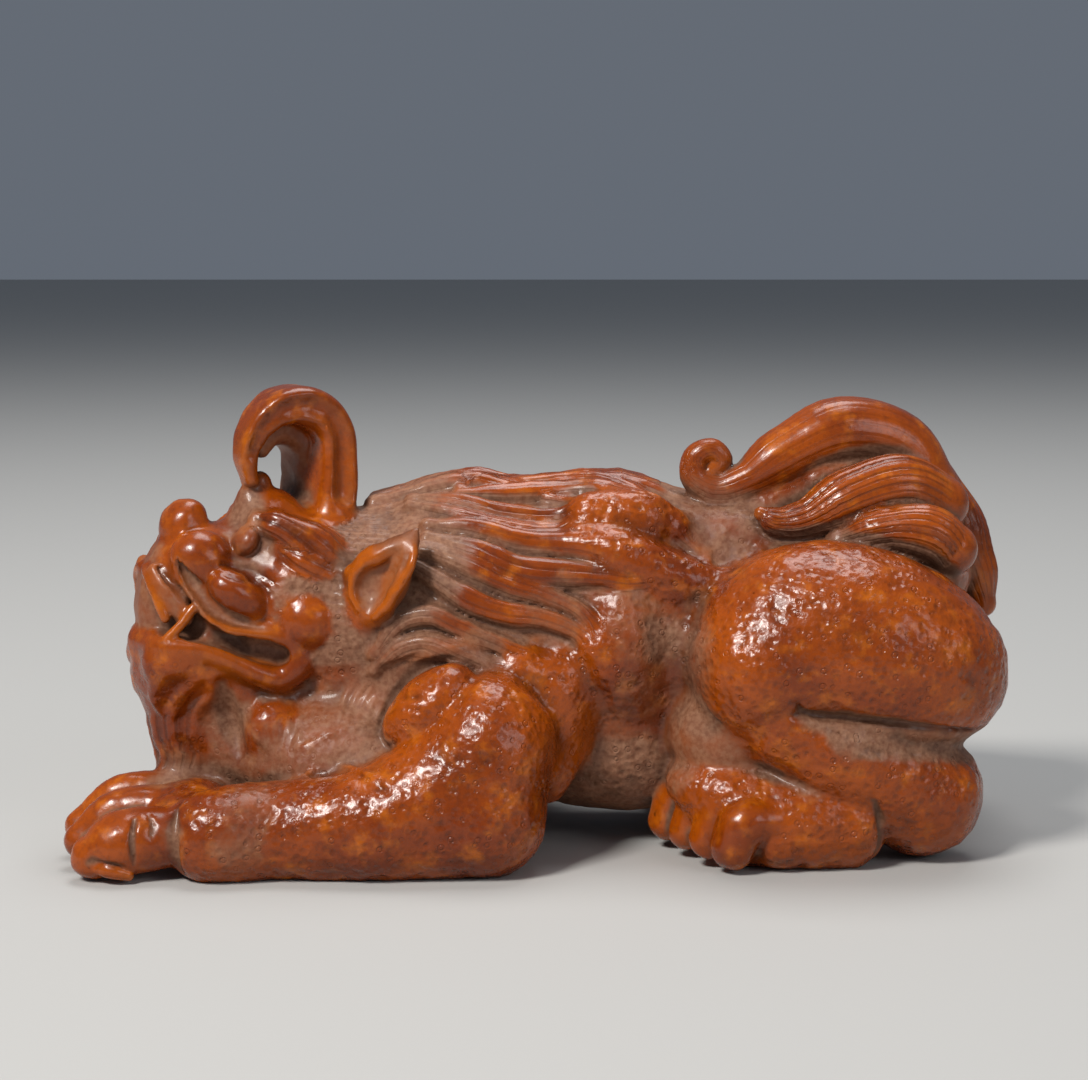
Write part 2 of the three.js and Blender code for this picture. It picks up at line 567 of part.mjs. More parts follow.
function bestPlace(q, a, b) {
  const m = new THREE.Matrix3().set(q[0], q[1], q[2], q[1], q[4], q[5], q[2], q[5], q[7]);
  const middle = times(plus(a, b), 0.5);
  if (Math.abs(m.determinant()) > 1e-9) {
    const v = new THREE.Vector3(-q[3], -q[6], -q[8]).applyMatrix3(m.invert());
    const place = [v.x, v.y, v.z];
    if (Math.hypot(...minus(place, middle)) < Math.hypot(...minus(a, b)) * 1.5) return place;
  }
  return [a, b, middle].reduce((best, p) => (sumError(q, p) < sumError(q, best) ? p : best));
}

// A heap of edges, cheapest first
class EdgeHeap {
  constructor() { this.items = []; }

  push(item) {
    const heap = this.items;
    heap.push(item);
    let i = heap.length - 1;
    while (i > 0) {
      const up = (i - 1) >> 1;
      if (heap[up].cost <= heap[i].cost) break;
      [heap[up], heap[i]] = [heap[i], heap[up]];
      i = up;
    }
  }

  pop() {
    const heap = this.items;
    const top = heap[0];
    const last = heap.pop();
    if (heap.length > 0) {
      heap[0] = last;
      let i = 0;
      for (;;) {
        let small = i;
        for (const child of [2 * i + 1, 2 * i + 2]) {
          if (child < heap.length && heap[child].cost < heap[small].cost) small = child;
        }
        if (small === i) break;
        [heap[small], heap[i]] = [heap[i], heap[small]];
        i = small;
      }
    }
    return top;
  }
}

// Fewer faces: the edge whose loss changes the skin least is closed up, again and again
function thinOut({ points, faces }, target) {
  const around = points.map(() => new Set());
  const sums = points.map(() => new Array(10).fill(0));
  const version = points.map(() => 0);
  const alive = faces.map(() => true);
  faces.forEach((face, f) => {
    const [a, b, c] = face.map((v) => points[v]);
    const normal = cross(minus(b, a), minus(c, a));
    const size = Math.hypot(...normal);
    const n = times(normal, 1 / Math.max(size, 1e-12));
    const q = planeSum(n, -dot(n, a), size);
    face.forEach((v) => {
      around[v].add(f);
      sums[v] = sums[v].map((s, i) => s + q[i]);
    });
  });
  const heap = new EdgeHeap();
  const offer = (a, b) => {
    const q = sums[a].map((s, i) => s + sums[b][i]);
    const place = bestPlace(q, points[a], points[b]);
    const length = Math.hypot(...minus(points[a], points[b]));
    const cost = sumError(q, place) + 2e-5 * length * length;
    heap.push({ a, b, place, cost, seen: version[a] + version[b] });
  };
  const neighbours = (v) => {
    const near = new Set();
    around[v].forEach((f) => faces[f].forEach((w) => near.add(w)));
    near.delete(v);
    return near;
  };
  const turnsOver = (v, other, place) => {
    for (const f of around[v]) {
      if (faces[f].includes(other)) continue;
      const before = faces[f].map((w) => points[w]);
      const after = faces[f].map((w) => (w === v ? place : points[w]));
      const n0 = cross(minus(before[1], before[0]), minus(before[2], before[0]));
      const n1 = cross(minus(after[1], after[0]), minus(after[2], after[0]));
      if (dot(n0, n1) < 0.25 * Math.hypot(...n0) * Math.hypot(...n1)) return true;
      if (Math.hypot(...n1) < 0.02) return true;
    }
    return false;
  };
  points.forEach((p, v) => neighbours(v).forEach((w) => { if (w > v) offer(v, w); }));
  let left = faces.length;
  while (left > target && heap.items.length > 0) {
    const { a, b, place, seen } = heap.pop();
    if (!around[a] || !around[b] || seen !== version[a] + version[b]) continue;
    const nearB = neighbours(b);
    if (!nearB.has(a)) continue;
    const shared = [...neighbours(a)].filter((v) => nearB.has(v)).length;
    if (shared !== 2 || turnsOver(a, b, place) || turnsOver(b, a, place)) continue;
    around[b].forEach((f) => {
      if (faces[f].includes(a)) {
        alive[f] = false;
        left -= 1;
        faces[f].forEach((v) => { if (v !== b) around[v].delete(f); });
      } else {
        faces[f] = faces[f].map((v) => (v === b ? a : v));
        around[a].add(f);
      }
    });
    around[b] = null;
    points[a] = place;
    sums[a] = sums[a].map((s, i) => s + sums[b][i]);
    version[a] += 1 + version[b];
    neighbours(a).forEach((v) => offer(a, v));
  }
  return { points, faces: faces.filter((_, f) => alive[f]) };
}

// Level soles: points close to the ground go just below it, then everything below is cut off
const GROUND_MARGIN = 0.15;
const GROUND = [2 * FIGURE_LENGTH, 2 * FIGURE_LENGTH, FIGURE_HEIGHT];
function standOnGround(manifold, { points, faces }) {
  const { Manifold, Mesh } = manifold;
  const number = new Map();
  const used = [];
  const triVerts = new Uint32Array(faces.flat().map((v) => {
    if (!number.has(v)) {
      number.set(v, used.length / 3);
      const [x, y, z] = points[v];
      used.push(x, y, Math.abs(z) < GROUND_MARGIN ? -GROUND_MARGIN : z);
    }
    return number.get(v);
  }));
  const body = new Manifold(new Mesh({ numProp: 3, vertProperties: new Float32Array(used), triVerts }));
  const ground = new Manifold(new Mesh({
    numProp: 3,
    vertProperties: new Float32Array(eightCorners(...GROUND)),
    triVerts: sharedTriangles(new THREE.BoxGeometry(...GROUND)),
  }));
  return body.subtract(ground).getMesh();
}

// The box has separate corners for every side; the join needs the eight that they share
function eightCorners(x, y, z) {
  const corners = [];
  for (let n = 0; n < 8; n += 1) {
    corners.push((n & 1 ? 0.5 : -0.5) * x, (n & 2 ? 0.5 : -0.5) * y, n & 4 ? 0 : -z);
  }
  return corners;
}

function sharedTriangles(box) {
  const at = box.attributes.position;
  const corner = (v) => (at.getX(v) > 0 ? 1 : 0) + (at.getY(v) > 0 ? 2 : 0) + (at.getZ(v) > 0 ? 4 : 0);
  return new Uint32Array([...box.index.array].map(corner));
}

// Bring the carved skin to the driving sizes, middle of the box over the origin
function toGeometry(mesh) {
  const flat = mesh.vertProperties;
  const geometry = new THREE.BufferGeometry();
  const place = new Float32Array(flat.length);
  for (let i = 0; i < flat.length; i += 3) place.set(flat.slice(i, i + 3), i);
  geometry.setAttribute('position', new THREE.BufferAttribute(place, 3));
  geometry.setIndex([...mesh.triVerts]);
  geometry.computeBoundingBox();
  const box = geometry.boundingBox;
  const carved = box.getSize(new THREE.Vector3());
  geometry.translate(-(box.min.x + box.max.x) / 2, -(box.min.y + box.max.y) / 2, -box.min.z);
  geometry.scale(FIGURE_LENGTH / carved.x, FIGURE_WIDTH / carved.y, FIGURE_HEIGHT / carved.z);
  geometry.computeVertexNormals();
  return geometry;
}

forms.forEach(sample);
keepOneSkin();
const manifold = await Module();
manifold.setup();
const skin = standOnGround(manifold, thinOut(skinOfField(), FACE_COUNT));

const material = new THREE.MeshStandardMaterial({ name: 'boxwood', color: 0xb24e14, roughness: 0.35 });
const figure = new THREE.Mesh(toGeometry(skin), material);
figure.name = 'pixiu_figure';

const group = new THREE.Group();
group.name = 'pixiu';
group.add(figure);

export default group;
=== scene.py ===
import copy
import math

import bpy
import numpy as np
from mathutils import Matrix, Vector, kdtree


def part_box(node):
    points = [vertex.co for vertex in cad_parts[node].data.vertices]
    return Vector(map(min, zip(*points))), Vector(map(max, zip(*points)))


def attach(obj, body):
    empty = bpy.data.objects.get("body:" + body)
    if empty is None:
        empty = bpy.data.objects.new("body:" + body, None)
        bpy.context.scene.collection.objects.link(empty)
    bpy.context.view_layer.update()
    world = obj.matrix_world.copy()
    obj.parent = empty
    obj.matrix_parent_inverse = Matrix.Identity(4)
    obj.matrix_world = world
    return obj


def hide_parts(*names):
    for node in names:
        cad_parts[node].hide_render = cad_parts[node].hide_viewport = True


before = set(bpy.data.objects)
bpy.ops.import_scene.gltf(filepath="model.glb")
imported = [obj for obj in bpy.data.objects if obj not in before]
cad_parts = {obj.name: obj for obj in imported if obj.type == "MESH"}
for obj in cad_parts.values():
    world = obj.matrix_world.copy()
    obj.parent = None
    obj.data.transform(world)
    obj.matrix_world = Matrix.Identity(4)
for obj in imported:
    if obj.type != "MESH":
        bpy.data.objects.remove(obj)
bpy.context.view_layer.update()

NODE = "pixiu_figure"
NODE_LOW, NODE_HIGH = (np.array(corner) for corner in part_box(NODE))

# The carving is laid out in millimetres, facing -X with the animal's left toward -Y, in a layout box
# that is then brought onto the node's own box in metres
LAYOUT_LOW = np.array([-49.76, -26.43, 0.0])
LAYOUT_HIGH = np.array([49.09, 26.41, 48.19])
SCALE = (NODE_HIGH - NODE_LOW) / (LAYOUT_HIGH - LAYOUT_LOW)

# Thickness of the smaller carved forms, in millimetres, as in the solid
HORN_THICK = 4.2
EYE_BALL = 3.5
LIP_THICK = 2.3
TOE_THICK = 4.4
LOCK_THICK = 5.0
TAIL_THICK = 7.4

# Meshing: sampling cell in millimetres and the most faces kept
CELL = 0.3
FACE_LIMIT = 194000
# Sine waves summed for the knife's unevenness
WAVE_COUNT = 24
# Strands of a tuft laid on the skin
TUFT_STRANDS = 5


# Small helpers on points


def unit(v):
    """A vector, or each row of vectors, brought to length 1."""
    v = np.asarray(v, float)
    return v / np.maximum(np.linalg.norm(v, axis=-1, keepdims=True), 1e-12)


def within(points, low, high, reach):
    """Numbers of the points within reach of a box."""
    return np.flatnonzero(((points > low - reach) & (points < high + reach)).all(1))


def ramp(x, low, high):
    """0 below low, 1 above high, smooth between."""
    t = np.clip((x - low) / (high - low), 0, 1)
    return t * t * (3 - 2 * t)


def turned(degrees):
    """Axes, as rows, of a frame turned about Y."""
    a = math.radians(degrees)
    return np.array([[math.cos(a), 0, -math.sin(a)], [0, 1, 0], [math.sin(a), 0, math.cos(a)]])


def waves(points, length, seed):
    """Smooth seeded unevenness between about -1 and 1, with the given wave length."""
    draw = np.random.default_rng(seed)
    total = np.zeros(len(points))
    for _ in range(WAVE_COUNT):
        way = unit(draw.normal(size=3)) * 2 * math.pi / (length * draw.uniform(0.7, 1.4))
        total += np.sin(points @ way + draw.uniform(0, 2 * math.pi))
    return total / math.sqrt(WAVE_COUNT)


# Shapes: an egg is an ellipsoid, a limb is a rod through guide points


class Egg:
    def __init__(self, centre, radii, turn=0, within=np.eye(3)):
        self.centre = np.asarray(centre, float)
        self.radii = np.asarray(radii, float)
        self.axes = turned(turn) @ within
        self.low = self.centre - self.radii.max()
        self.high = self.centre + self.radii.max()

    def near(self, low, high, reach):
        return self

    def distance(self, points):
        k = (points - self.centre) @ self.axes.T / self.radii
        near = np.sqrt((k * k).sum(1))
        steep = np.sqrt(((k / self.radii) ** 2).sum(1))
        return np.where(steep < 1e-5, -self.radii.min(), near * (near - 1) / np.maximum(steep, 1e-5))


def curve_between(p0, p1, p2, p3, t):
    """Point on the centripetal curve from p1 to p2."""
    gaps = [max(np.linalg.norm(b - a), 1e-8) ** 0.5 for a, b in ((p0, p1), (p1, p2), (p2, p3))]
    slope1 = (p1 - p0) / gaps[0] - (p2 - p0) / (gaps[0] + gaps[1]) + (p2 - p1) / gaps[1]
    slope2 = (p2 - p1) / gaps[1] - (p3 - p1) / (gaps[1] + gaps[2]) + (p3 - p2) / gaps[2]
    slope1, slope2 = slope1 * gaps[1], slope2 * gaps[1]
    cubic = 2 * p1 - 2 * p2 + slope1 + slope2
    square = -3 * p1 + 3 * p2 - 2 * slope1 - slope2
    return p1 + slope1 * t + square * t * t + cubic * t ** 3


class Limb:
    def __init__(self, guide, flat=1.0, wide=0.0, facing=(0, 1, 0), steps=6):
        guide = np.asarray(guide, float)
        spots = np.vstack([2 * guide[:1] - guide[1:2], guide, 2 * guide[-1:] - guide[-2:-1]])[:, :3]
        run, radii = [], []
        for i in range((len(guide) - 1) * steps + 1):
            k = min(i // steps, len(guide) - 2)
            t = i / steps - k
            run.append(curve_between(*spots[k:k + 4], t))
            radii.append(guide[k, 3] + (guide[k + 1, 3] - guide[k, 3]) * t * t * (3 - 2 * t))
        self.run = np.array(run)
        self.radii = np.array(radii)
        self.flat = flat
        self.wide = wide
        self.facing = unit(facing)
        self.fit()

    def fit(self):
        reach = self.radii.max() * (1 + self.wide)
        self.low = self.run.min(0) - reach
        self.high = self.run.max(0) + reach

    def near(self, low, high, reach):
        """The stretch of the limb that comes within reach of a box, or nothing."""
        reach = reach + self.radii.max() * (1 + self.wide)
        close = within(self.run, low, high, reach)
        if len(close) == 0:
            return None
        stretch = slice(max(close[0] - 1, 0), close[-1] + 2)
        part = copy.copy(self)
        part.run = self.run[stretch]
        part.radii = self.radii[stretch]
        part.fit()
        return part

    def stretch(self, i, points):
        """Distance to one stretch of the run, share of the way along it, and the way out from it."""
        a = self.run[i]
        ab = self.run[i + 1] - a
        ap = points - a
        t = np.clip(ap @ ab / (ab @ ab), 0, 1)
        off = ap - t[:, None] * ab
        side = off @ self.facing
        radius = self.radii[i] + (self.radii[i + 1] - self.radii[i]) * t
        across = np.maximum(np.abs(side) - self.wide * radius, 0) / self.flat
        square = np.einsum("ij,ij->i", off, off) - side * side
        d = (np.sqrt(np.maximum(square, 0) + across * across) - radius) * self.flat
        return d, t, off

    def distance(self, points):
        best = np.full(len(points), 1e9)
        for i in range(len(self.run) - 1):
            best = np.minimum(best, self.stretch(i, points)[0])
        return best

    def measure(self, points):
        """Distance, place along from 0 to 1, and the way out from the middle line, of each point."""
        best = np.full(len(points), 1e9)
        along = np.zeros(len(points))
        off_best = np.zeros((len(points), 3))
        count = len(self.run) - 1
        for i in range(count):
            d, t, off = self.stretch(i, points)
            nearer = d < best
            best = np.where(nearer, d, best)
            along = np.where(nearer, (i + t) / count, along)
            off_best[nearer] = off[nearer]
        return best, along, off_best


# The carving: forms joined or cut one after another, each under the name of the part it belongs to
forms = []


def add(part, shape, soft):
    forms.append((part, shape, soft, False))


def cut(part, shape, soft):
    forms.append((part, shape, soft, True))


# Locks whose hair is carved in strands: shape, number of strands round it, depth in millimetres
combed = []


def add_lock(part, shape, soft, strands, depth):
    add(part, shape, soft)
    combed.append((shape, strands, depth))


def join_soft(a, b, k):
    h = np.maximum(k - np.abs(a - b), 0) / k
    return np.minimum(a, b) - h * h * k * 0.25


def blend(total, d, soft, cutting):
    """Distances with one more form joined to them or cut out of them, given its own distances."""
    return -join_soft(-total, d, soft) if cutting else join_soft(total, d, soft)


def carved(points, chosen, start):
    """Signed distance from some of the forms; the start is open air."""
    total = np.full(len(points), start)
    for part, shape, soft, cutting in chosen:
        total = blend(total, shape.distance(points), soft, cutting)
    return total


def sided(p, side):
    """A point given for the left side, kept for side -1 and mirrored for side 1."""
    return [p[0], -p[1] * side, *p[2:]]


def side_limb(guide, side, **section):
    return Limb([sided(p, side) for p in guide], **section)


def side_egg(centre, radii, side, turn=0):
    return Egg(sided(centre, side), radii, turn)


def skin_at(x, z, side):
    """Y of the skin met first on the way in from one side."""
    def near(part, shape, soft, cutting):
        return all(shape.low[i] - soft <= v <= shape.high[i] + soft for i, v in ((0, x), (2, z)))

    tries = side * np.arange(28, 0, -0.1)
    points = np.array([[x, y, z] for y in tries])
    total = carved(points, [form for form in forms if near(*form)], 9.0)
    return tries[np.argmax(total < 0)]


def laid(path, side, radius, sunk=0.3):
    """A thin strand on the skin along x and z places, thinner at its ends and sunk a little."""
    guide = []
    for i, (x, z) in enumerate(path):
        r = radius * (0.6 if i in (0, len(path) - 1) else 1)
        guide.append([x, skin_at(x, z, side) - side * sunk * r, z, r])
    return Limb(guide)


def lay_tuft(first, last, side, radius):
    """Strands side by side, spread between a first and a last path, none on top of another."""
    shapes = [
        laid(np.array(first) * (1 - t) + np.array(last) * t, side, radius)
        for t in np.linspace(0, 1, TUFT_STRANDS)
    ]
    for shape in shapes:
        add("tuft", shape, 0.2)


def score(part, path, side, radius, soft=0.15):
    """A thin groove in the skin along x and z places."""
    cut(part, laid(path, side, radius, 0), soft)


# Trunk: chest, middle, rump, belly, neck, and the web of wood between chest and forearms


def carve_trunk():
    add("trunk", Egg([-9, 0, 19.4], [14, 14.3, 17.5]), 5)
    add("trunk", Egg([6, 0, 21.3], [17, 13.8, 16.4]), 5)
    add("trunk", Egg([27, 0, 21], [17, 13, 13.5]), 5)
    add("trunk", Egg([9, 0, 8.9], [12, 11, 6.4]), 4)
    add("trunk", Limb([[-10, 0, 21.5, 13.5], [-18, -2, 23, 11.8], [-25, -4, 24, 10]]), 5)
    add("throat", Egg([-20, -8, 9.5], [13, 10.5, 8]), 3)
    add("throat", Egg([-16, 10, 9], [11, 8, 7]), 3)


# The trunk's skin is looked for from its middle line outward; the trunk is taller than wide
TRUNK_MIDDLE = 20.5
TRUNK_TALL = 1.23
TRUNK_FORMS = 7
TRUNK_TRIES = np.arange(2, 30, 0.02)


def trunk_reach(x, way):
    """Distance from the middle line out to the skin of the trunk."""
    points = np.array([x, 0, TRUNK_MIDDLE]) + TRUNK_TRIES[:, None] * way
    return TRUNK_TRIES[np.argmax(carved(points, forms[:TRUNK_FORMS], 48.0) > 0)]


# Share of its radius by which a lock is sunk in the trunk
SUNK = 0.05


def on_trunk(x, angle, share):
    """Place and radius on the trunk's skin, at an angle in degrees up from the left flank."""
    a = math.radians(angle)
    radius = share * LOCK_THICK
    way = unit([0, -math.cos(a), TRUNK_TALL * math.sin(a)])
    out = trunk_reach(x, way) - SUNK * radius
    return [x, way[1] * out, TRUNK_MIDDLE + way[2] * out, radius]


# Mane: locks swept back from the head, each given as x, angle and radius in shares of LOCK_THICK
MANE = [
    [[-18, 82, 0.36], [-8, 90, 0.6], [-3, 86, 0.48], [3, 68, 0.2]],
    [[-9, 74, 0.24], [-4.7, 79, 0.46], [1, 83, 0.52], [6, 78, 0.46], [11, 66, 0.36], [17, 44, 0.18]],
    [[2, 86, 0.3], [8, 88, 0.5], [14, 82, 0.44], [21, 70, 0.2]],
    [[-14, 68, 0.28], [-8.7, 59, 0.4], [-4.6, 55, 0.42], [1, 54, 0.36], [6, 59, 0.16]],
    [
        [-12, 47, 0.3], [-7, 43, 0.5], [-2.5, 38.5, 0.56], [2, 37, 0.54],
        [6, 34, 0.42], [9, 31, 0.28], [13, 33, 0.12],
    ],
    [
        [-15, 39, 0.26], [-11, 32, 0.42], [-7.6, 26, 0.5], [-4, 21.5, 0.46],
        [0, 19, 0.38], [4, 13, 0.32], [6.5, 1, 0.2],
    ],
    [
        [-17.5, 0, 0.24], [-14.7, 9, 0.36], [-11.6, 11, 0.4],
        [-8.6, 7.5, 0.38], [-5, 3, 0.36], [-1.4, -1, 0.24],
    ],
]
# Bosses of the back and flank, between the mane, the arm and the haunch
BOSSES = [
    [[4.8, 57, 0.5], [10, 57, 0.62], [13, 57, 0.4]],
    [[3.7, 45, 0.3], [8, 39, 0.5], [14, 32, 0.5], [18, 31, 0.3]],
    [[-2.5, -3, 0.5], [0.5, -8, 0.5]],
    [[5.5, 4, 0.34], [6.5, -3, 0.34]],
]

# A lock is carved as two strands side by side that come together at both ends
STRANDS = [-1, 1]
STRAND_SHARE = 0.62
STRAND_APART = 11


def carve_mane():
    for side in (-1, 1):
        for lock in MANE:
            for strand in STRANDS:
                guide = [
                    on_trunk(x, angle + strand * STRAND_APART * share, share * STRAND_SHARE)
                    for x, angle, share in lock
                ]
                add_lock("mane", side_limb(guide, side), 0.2, 5, 0.2)
        for boss in BOSSES:
            add("boss", side_limb([on_trunk(*spot) for spot in boss], side), 1.4)
        # fold of hide on the flank, in front of the haunch
        add("trunk", side_egg([8.2, -9.6, 21.5], [4.4, 5.7, 8], side), 1.2)


# Hind leg: thigh, knee, shank folded under it, foot with four toes
SHANK = [[25, -16.6, 14.6, 5], [31, -16.2, 11.2, 5.6], [39, -12.8, 6.6, 6.5]]
CREASE = [
    [25.5, -22, 16.3, 1.2], [30.6, -22.6, 15.6, 2.2], [36.1, -22.6, 14.7, 2.5],
    [40.5, -21.6, 13.9, 2.5], [45, -19.3, 13.1, 2.4], [48.6, -13, 12.5, 2.2], [49.5, -6, 12.4, 2],
]
FOOT = [[20.5, -15, 5, 5.4], [26, -16.5, 4.7, 5.1], [30.8, -16.6, 4.2, 4.4]]
# Dark lines of the haunch and of the heel, as x and z places
HAUNCH_LINE = [
    (25.2, 17.6), (25.8, 16.8), (27.2, 16.3), (29.6, 16), (33.6, 15.7), (39.8, 14.8), (44.5, 14),
]
FOOT_LINE = [(33.2, 7.6), (33.9, 5.6), (34.1, 3.6), (33.7, 1.4)]
HIND_TOES = [[11.2, -9.4], [13.1, -13.4], [15, -17.2], [17.3, -20.2]]


def carve_hind_leg(side):
    add("thigh", side_egg([32.4, -12.5, 21.6], [15.8, 10.2, 10.6], side, 17), 2)
    add("thigh", side_egg([22, -14.4, 20.2], [7, 8.4, 7.6], side), 3)
    add("shank", side_limb(SHANK, side), 1.2)
    cut("crease", side_limb(CREASE, side, flat=0.42, facing=[0, side * 0.25, 1]), 0.4)
    score("slit", HAUNCH_LINE, side, 0.4)
    add("web", side_egg([20, -11.8, 12.6], [7, 6, 5.4], side), 1.6)
    add("foot", side_limb(FOOT, side), 0.7)
    add("foot", side_egg([19.5, -13, 7], [7, 6, 3.8], side, 8), 1.2)
    for i, (x, y) in enumerate(HIND_TOES):
        r = TOE_THICK * (0.56 if i == 3 else 0.48)
        toe = [
            [x + 5.4, y + 0.4, 8 - i * 0.9, r * 0.8], [x + 3, y, 6.6 - i * 0.5, r],
            [x + 1.8, y, 2.8, r * 0.95],
        ]
        add("toe", side_limb(toe, side), 0.3)
    add("foot", side_egg([24, -19, 3.1], [3, 2.6, 2.9], side), 0.6)
    score("crack", FOOT_LINE, side, 0.4)


# Foreleg: shoulder knob, upper arm, forearm along the ground, and a paw, set back by tuck
FORE_TOES = [
    [[-38, -11.8, 6.4, 0.5], [-43.6, -12.2, 6.3, 0.48], [-48, -12.8, 3.2, 0.41]],
    [[-38, -16.6, 6, 0.54], [-43.4, -17, 5.6, 0.52], [-47, -17.6, 2.8, 0.43]],
    [[-37.6, -21.6, 4.2, 0.7], [-42, -22.4, 3.7, 0.75], [-45, -22.6, 2.4, 0.52]],
]
# Creases of the toes as x and z places and radius, then paths on the skin as x and z places
TOE_CREASES = [
    ([(-40.6, 6.6), (-40.7, 4.4), (-40.6, 2)], 0.34),
    ([(-36.4, 7.6), (-36.7, 5), (-36.6, 2.6), (-36.2, 1)], 0.6),
    ([(-39.4, 6.9), (-38.8, 5.8), (-38.9, 4.6)], 0.25),
]
NOTCH = [[-44.8, -25.2, 2.2, 0.7], [-42.4, -25.4, 1.7, 0.75], [-40.8, -25, 1.2, 0.4]]
CLAW = [[-44.9, -24, 1.5, 0.5], [-43, -24.7, 1.5, 0.75], [-41.2, -24.5, 0.9, 0.5]]
KNOB_INNER = [(-8.5, 21.2), (-11.8, 20.8), (-14.6, 18.9), (-16.2, 16.9), (-17, 15), (-17.5, 13.4)]
KNOB_OUTER = [(-4.5, 22), (-9, 22.9), (-14.8, 21.4), (-18.4, 19.2), (-20.3, 16.9), (-20.8, 14.8)]
ARM_RIDGES = [
    [(-25.6, 9.3), (-23.4, 9.9), (-20.4, 10.5), (-17.8, 10.7), (-15.6, 10.1)],
    [(-24.6, 12.2), (-21.7, 13.5), (-19.7, 14.1), (-18.2, 14.4)],
]


def carve_foreleg(side, tuck):
    def back(p):
        return [p[0] + tuck, *p[1:]]

    upper = [[-4.9, -17.8, 12.8, 6], [-9.5, -19, 8.8, 6.3], back([-17, -20.4, 5.2, 5.6])]
    fore = [[-6, -19.5, 5.6, 6.2], back([-17, -20.5, 4.9, 5.5]), back([-29, -20.5, 4.4, 4.9])]
    add("arm", side_egg([-5.8, -17.5, 10.4], [6.4, 7.4, 9.4], side), 1.5)
    add("arm", side_limb(upper, side), 1.5)
    add("shoulder", side_egg([-11.6, -17, 16.4], [5.7, 3.9, 3.3], side, -40), 0.5)
    add("fringe", side_egg([1.4, -12.6, 13.6], [3.2, 3, 8.2], side, 8), 2.2)
    add("arm", side_limb(fore, side), 1.2)
    # wrist, and the pad of the paw
    add("paw", side_egg(back([-33, -21.9, 4.2]), [5.2, 4.5, 4.7], side), 2.4)
    add("paw", side_egg(back([-36, -16.5, 4.4]), [5, 6.6, 4.4], side), 1)
    for toe in FORE_TOES:
        guide = [back([x, y, z, share * TOE_THICK]) for x, y, z, share in toe]
        add("toe", side_limb(guide, side), 0.35)
    for crease, radius in TOE_CREASES:
        score("crack", [(x + tuck, z) for x, z in crease], side, radius)
    cut("crack", side_limb([back(p) for p in NOTCH], side), 0.15)
    add("claw", side_limb([back(p) for p in CLAW], side), 0.1)
    # strands of the coat round the shoulder knob
    lay_tuft(KNOB_INNER, KNOB_OUTER, side, 0.42)
    # folds of skin along the forearm, which the chest reaches on the seen side alone
    if side < 0:
        for ridge in ARM_RIDGES:
            add("arm", laid(ridge, side, 0.36), 0.3)


# Head frame: thrown back and turned a little to the animal's left
HEAD_AT = np.array([-29.0, -5.0, 24.0])
HEAD_LIFT = math.radians(36)
HEAD_TURN = math.radians(20)
FRONT = np.array([
    -math.cos(HEAD_LIFT) * math.cos(HEAD_TURN),
    -math.cos(HEAD_LIFT) * math.sin(HEAD_TURN),
    math.sin(HEAD_LIFT),
])
LEFT = np.array([math.sin(HEAD_TURN), -math.cos(HEAD_TURN), 0])
UP = np.cross(FRONT, LEFT)
HEAD_AXES = np.array([FRONT, LEFT, UP])


def on_head(p):
    """A point given as front, left, up of the head; a fourth number is a radius and is kept."""
    return [*(HEAD_AT + np.array(p[:3]) @ HEAD_AXES), *p[3:]]


def head_egg(centre, radii, nod=0):
    return Egg(on_head(centre), radii, -nod, HEAD_AXES)


def head_limb(guide, s=1, thick=1.0, **section):
    """A limb of the head, kept for s = 1 or mirrored for s = -1, its radii times thick."""
    return Limb([on_head([p[0], p[1] * s, p[2], p[3] * thick]) for p in guide], **section)


# Strands and valley of the jaw and jowl, as x and z places on the seen side
JAW_FLAMES = [
    [(-36.8, 20.4), (-38.9, 19), (-39.9, 16.8), (-39.3, 15)],
    [(-35.2, 19), (-37.2, 17.4), (-38.2, 15.2), (-37.8, 13)],
    [(-34.3, 16.9), (-35.8, 15.2), (-36.2, 13), (-35.5, 11.4)],
]
JAW_VALLEY = [(-33, 18.2), (-32.6, 15.5), (-32.2, 13.3), (-31.5, 11.2)]
JOWL_EDGE = [(-29.3, 16.3), (-27.2, 16.8), (-25, 16.6)]
JOWL_FRONT = [(-29.6, 14.6), (-29.4, 13.2), (-28.2, 11.6)]
JOWL_REAR = [(-25, 14.8), (-24.9, 13.2), (-26, 11.4)]
# Brow, eye and lid, in front, left and up of the head
BROW = [[8.2, 4.4, 7.3, 0.9], [6, 6, 7.9, 1.8], [2.6, 7, 8.3, 2.4], [-1, 7.5, 8, 2.1]]
LOWER_BROW = [[5, 6.8, 6, 0.8], [2, 8.2, 6.6, 1.5], [-1.6, 8, 7, 1.2]]
EYE_AT = [8.0, 5.0, 4.8]
EYE_RADII = np.array([0.34, 0.54, 0.5]) * EYE_BALL
LID = [
    [8.9, 4.6, 5.2, 0.2], [8.7, 4.6, 5.8, 0.3], [7.8, 5, 6.2, 0.36], [6.6, 5.7, 5.9, 0.3],
    [6, 6.1, 5, 0.2],
]


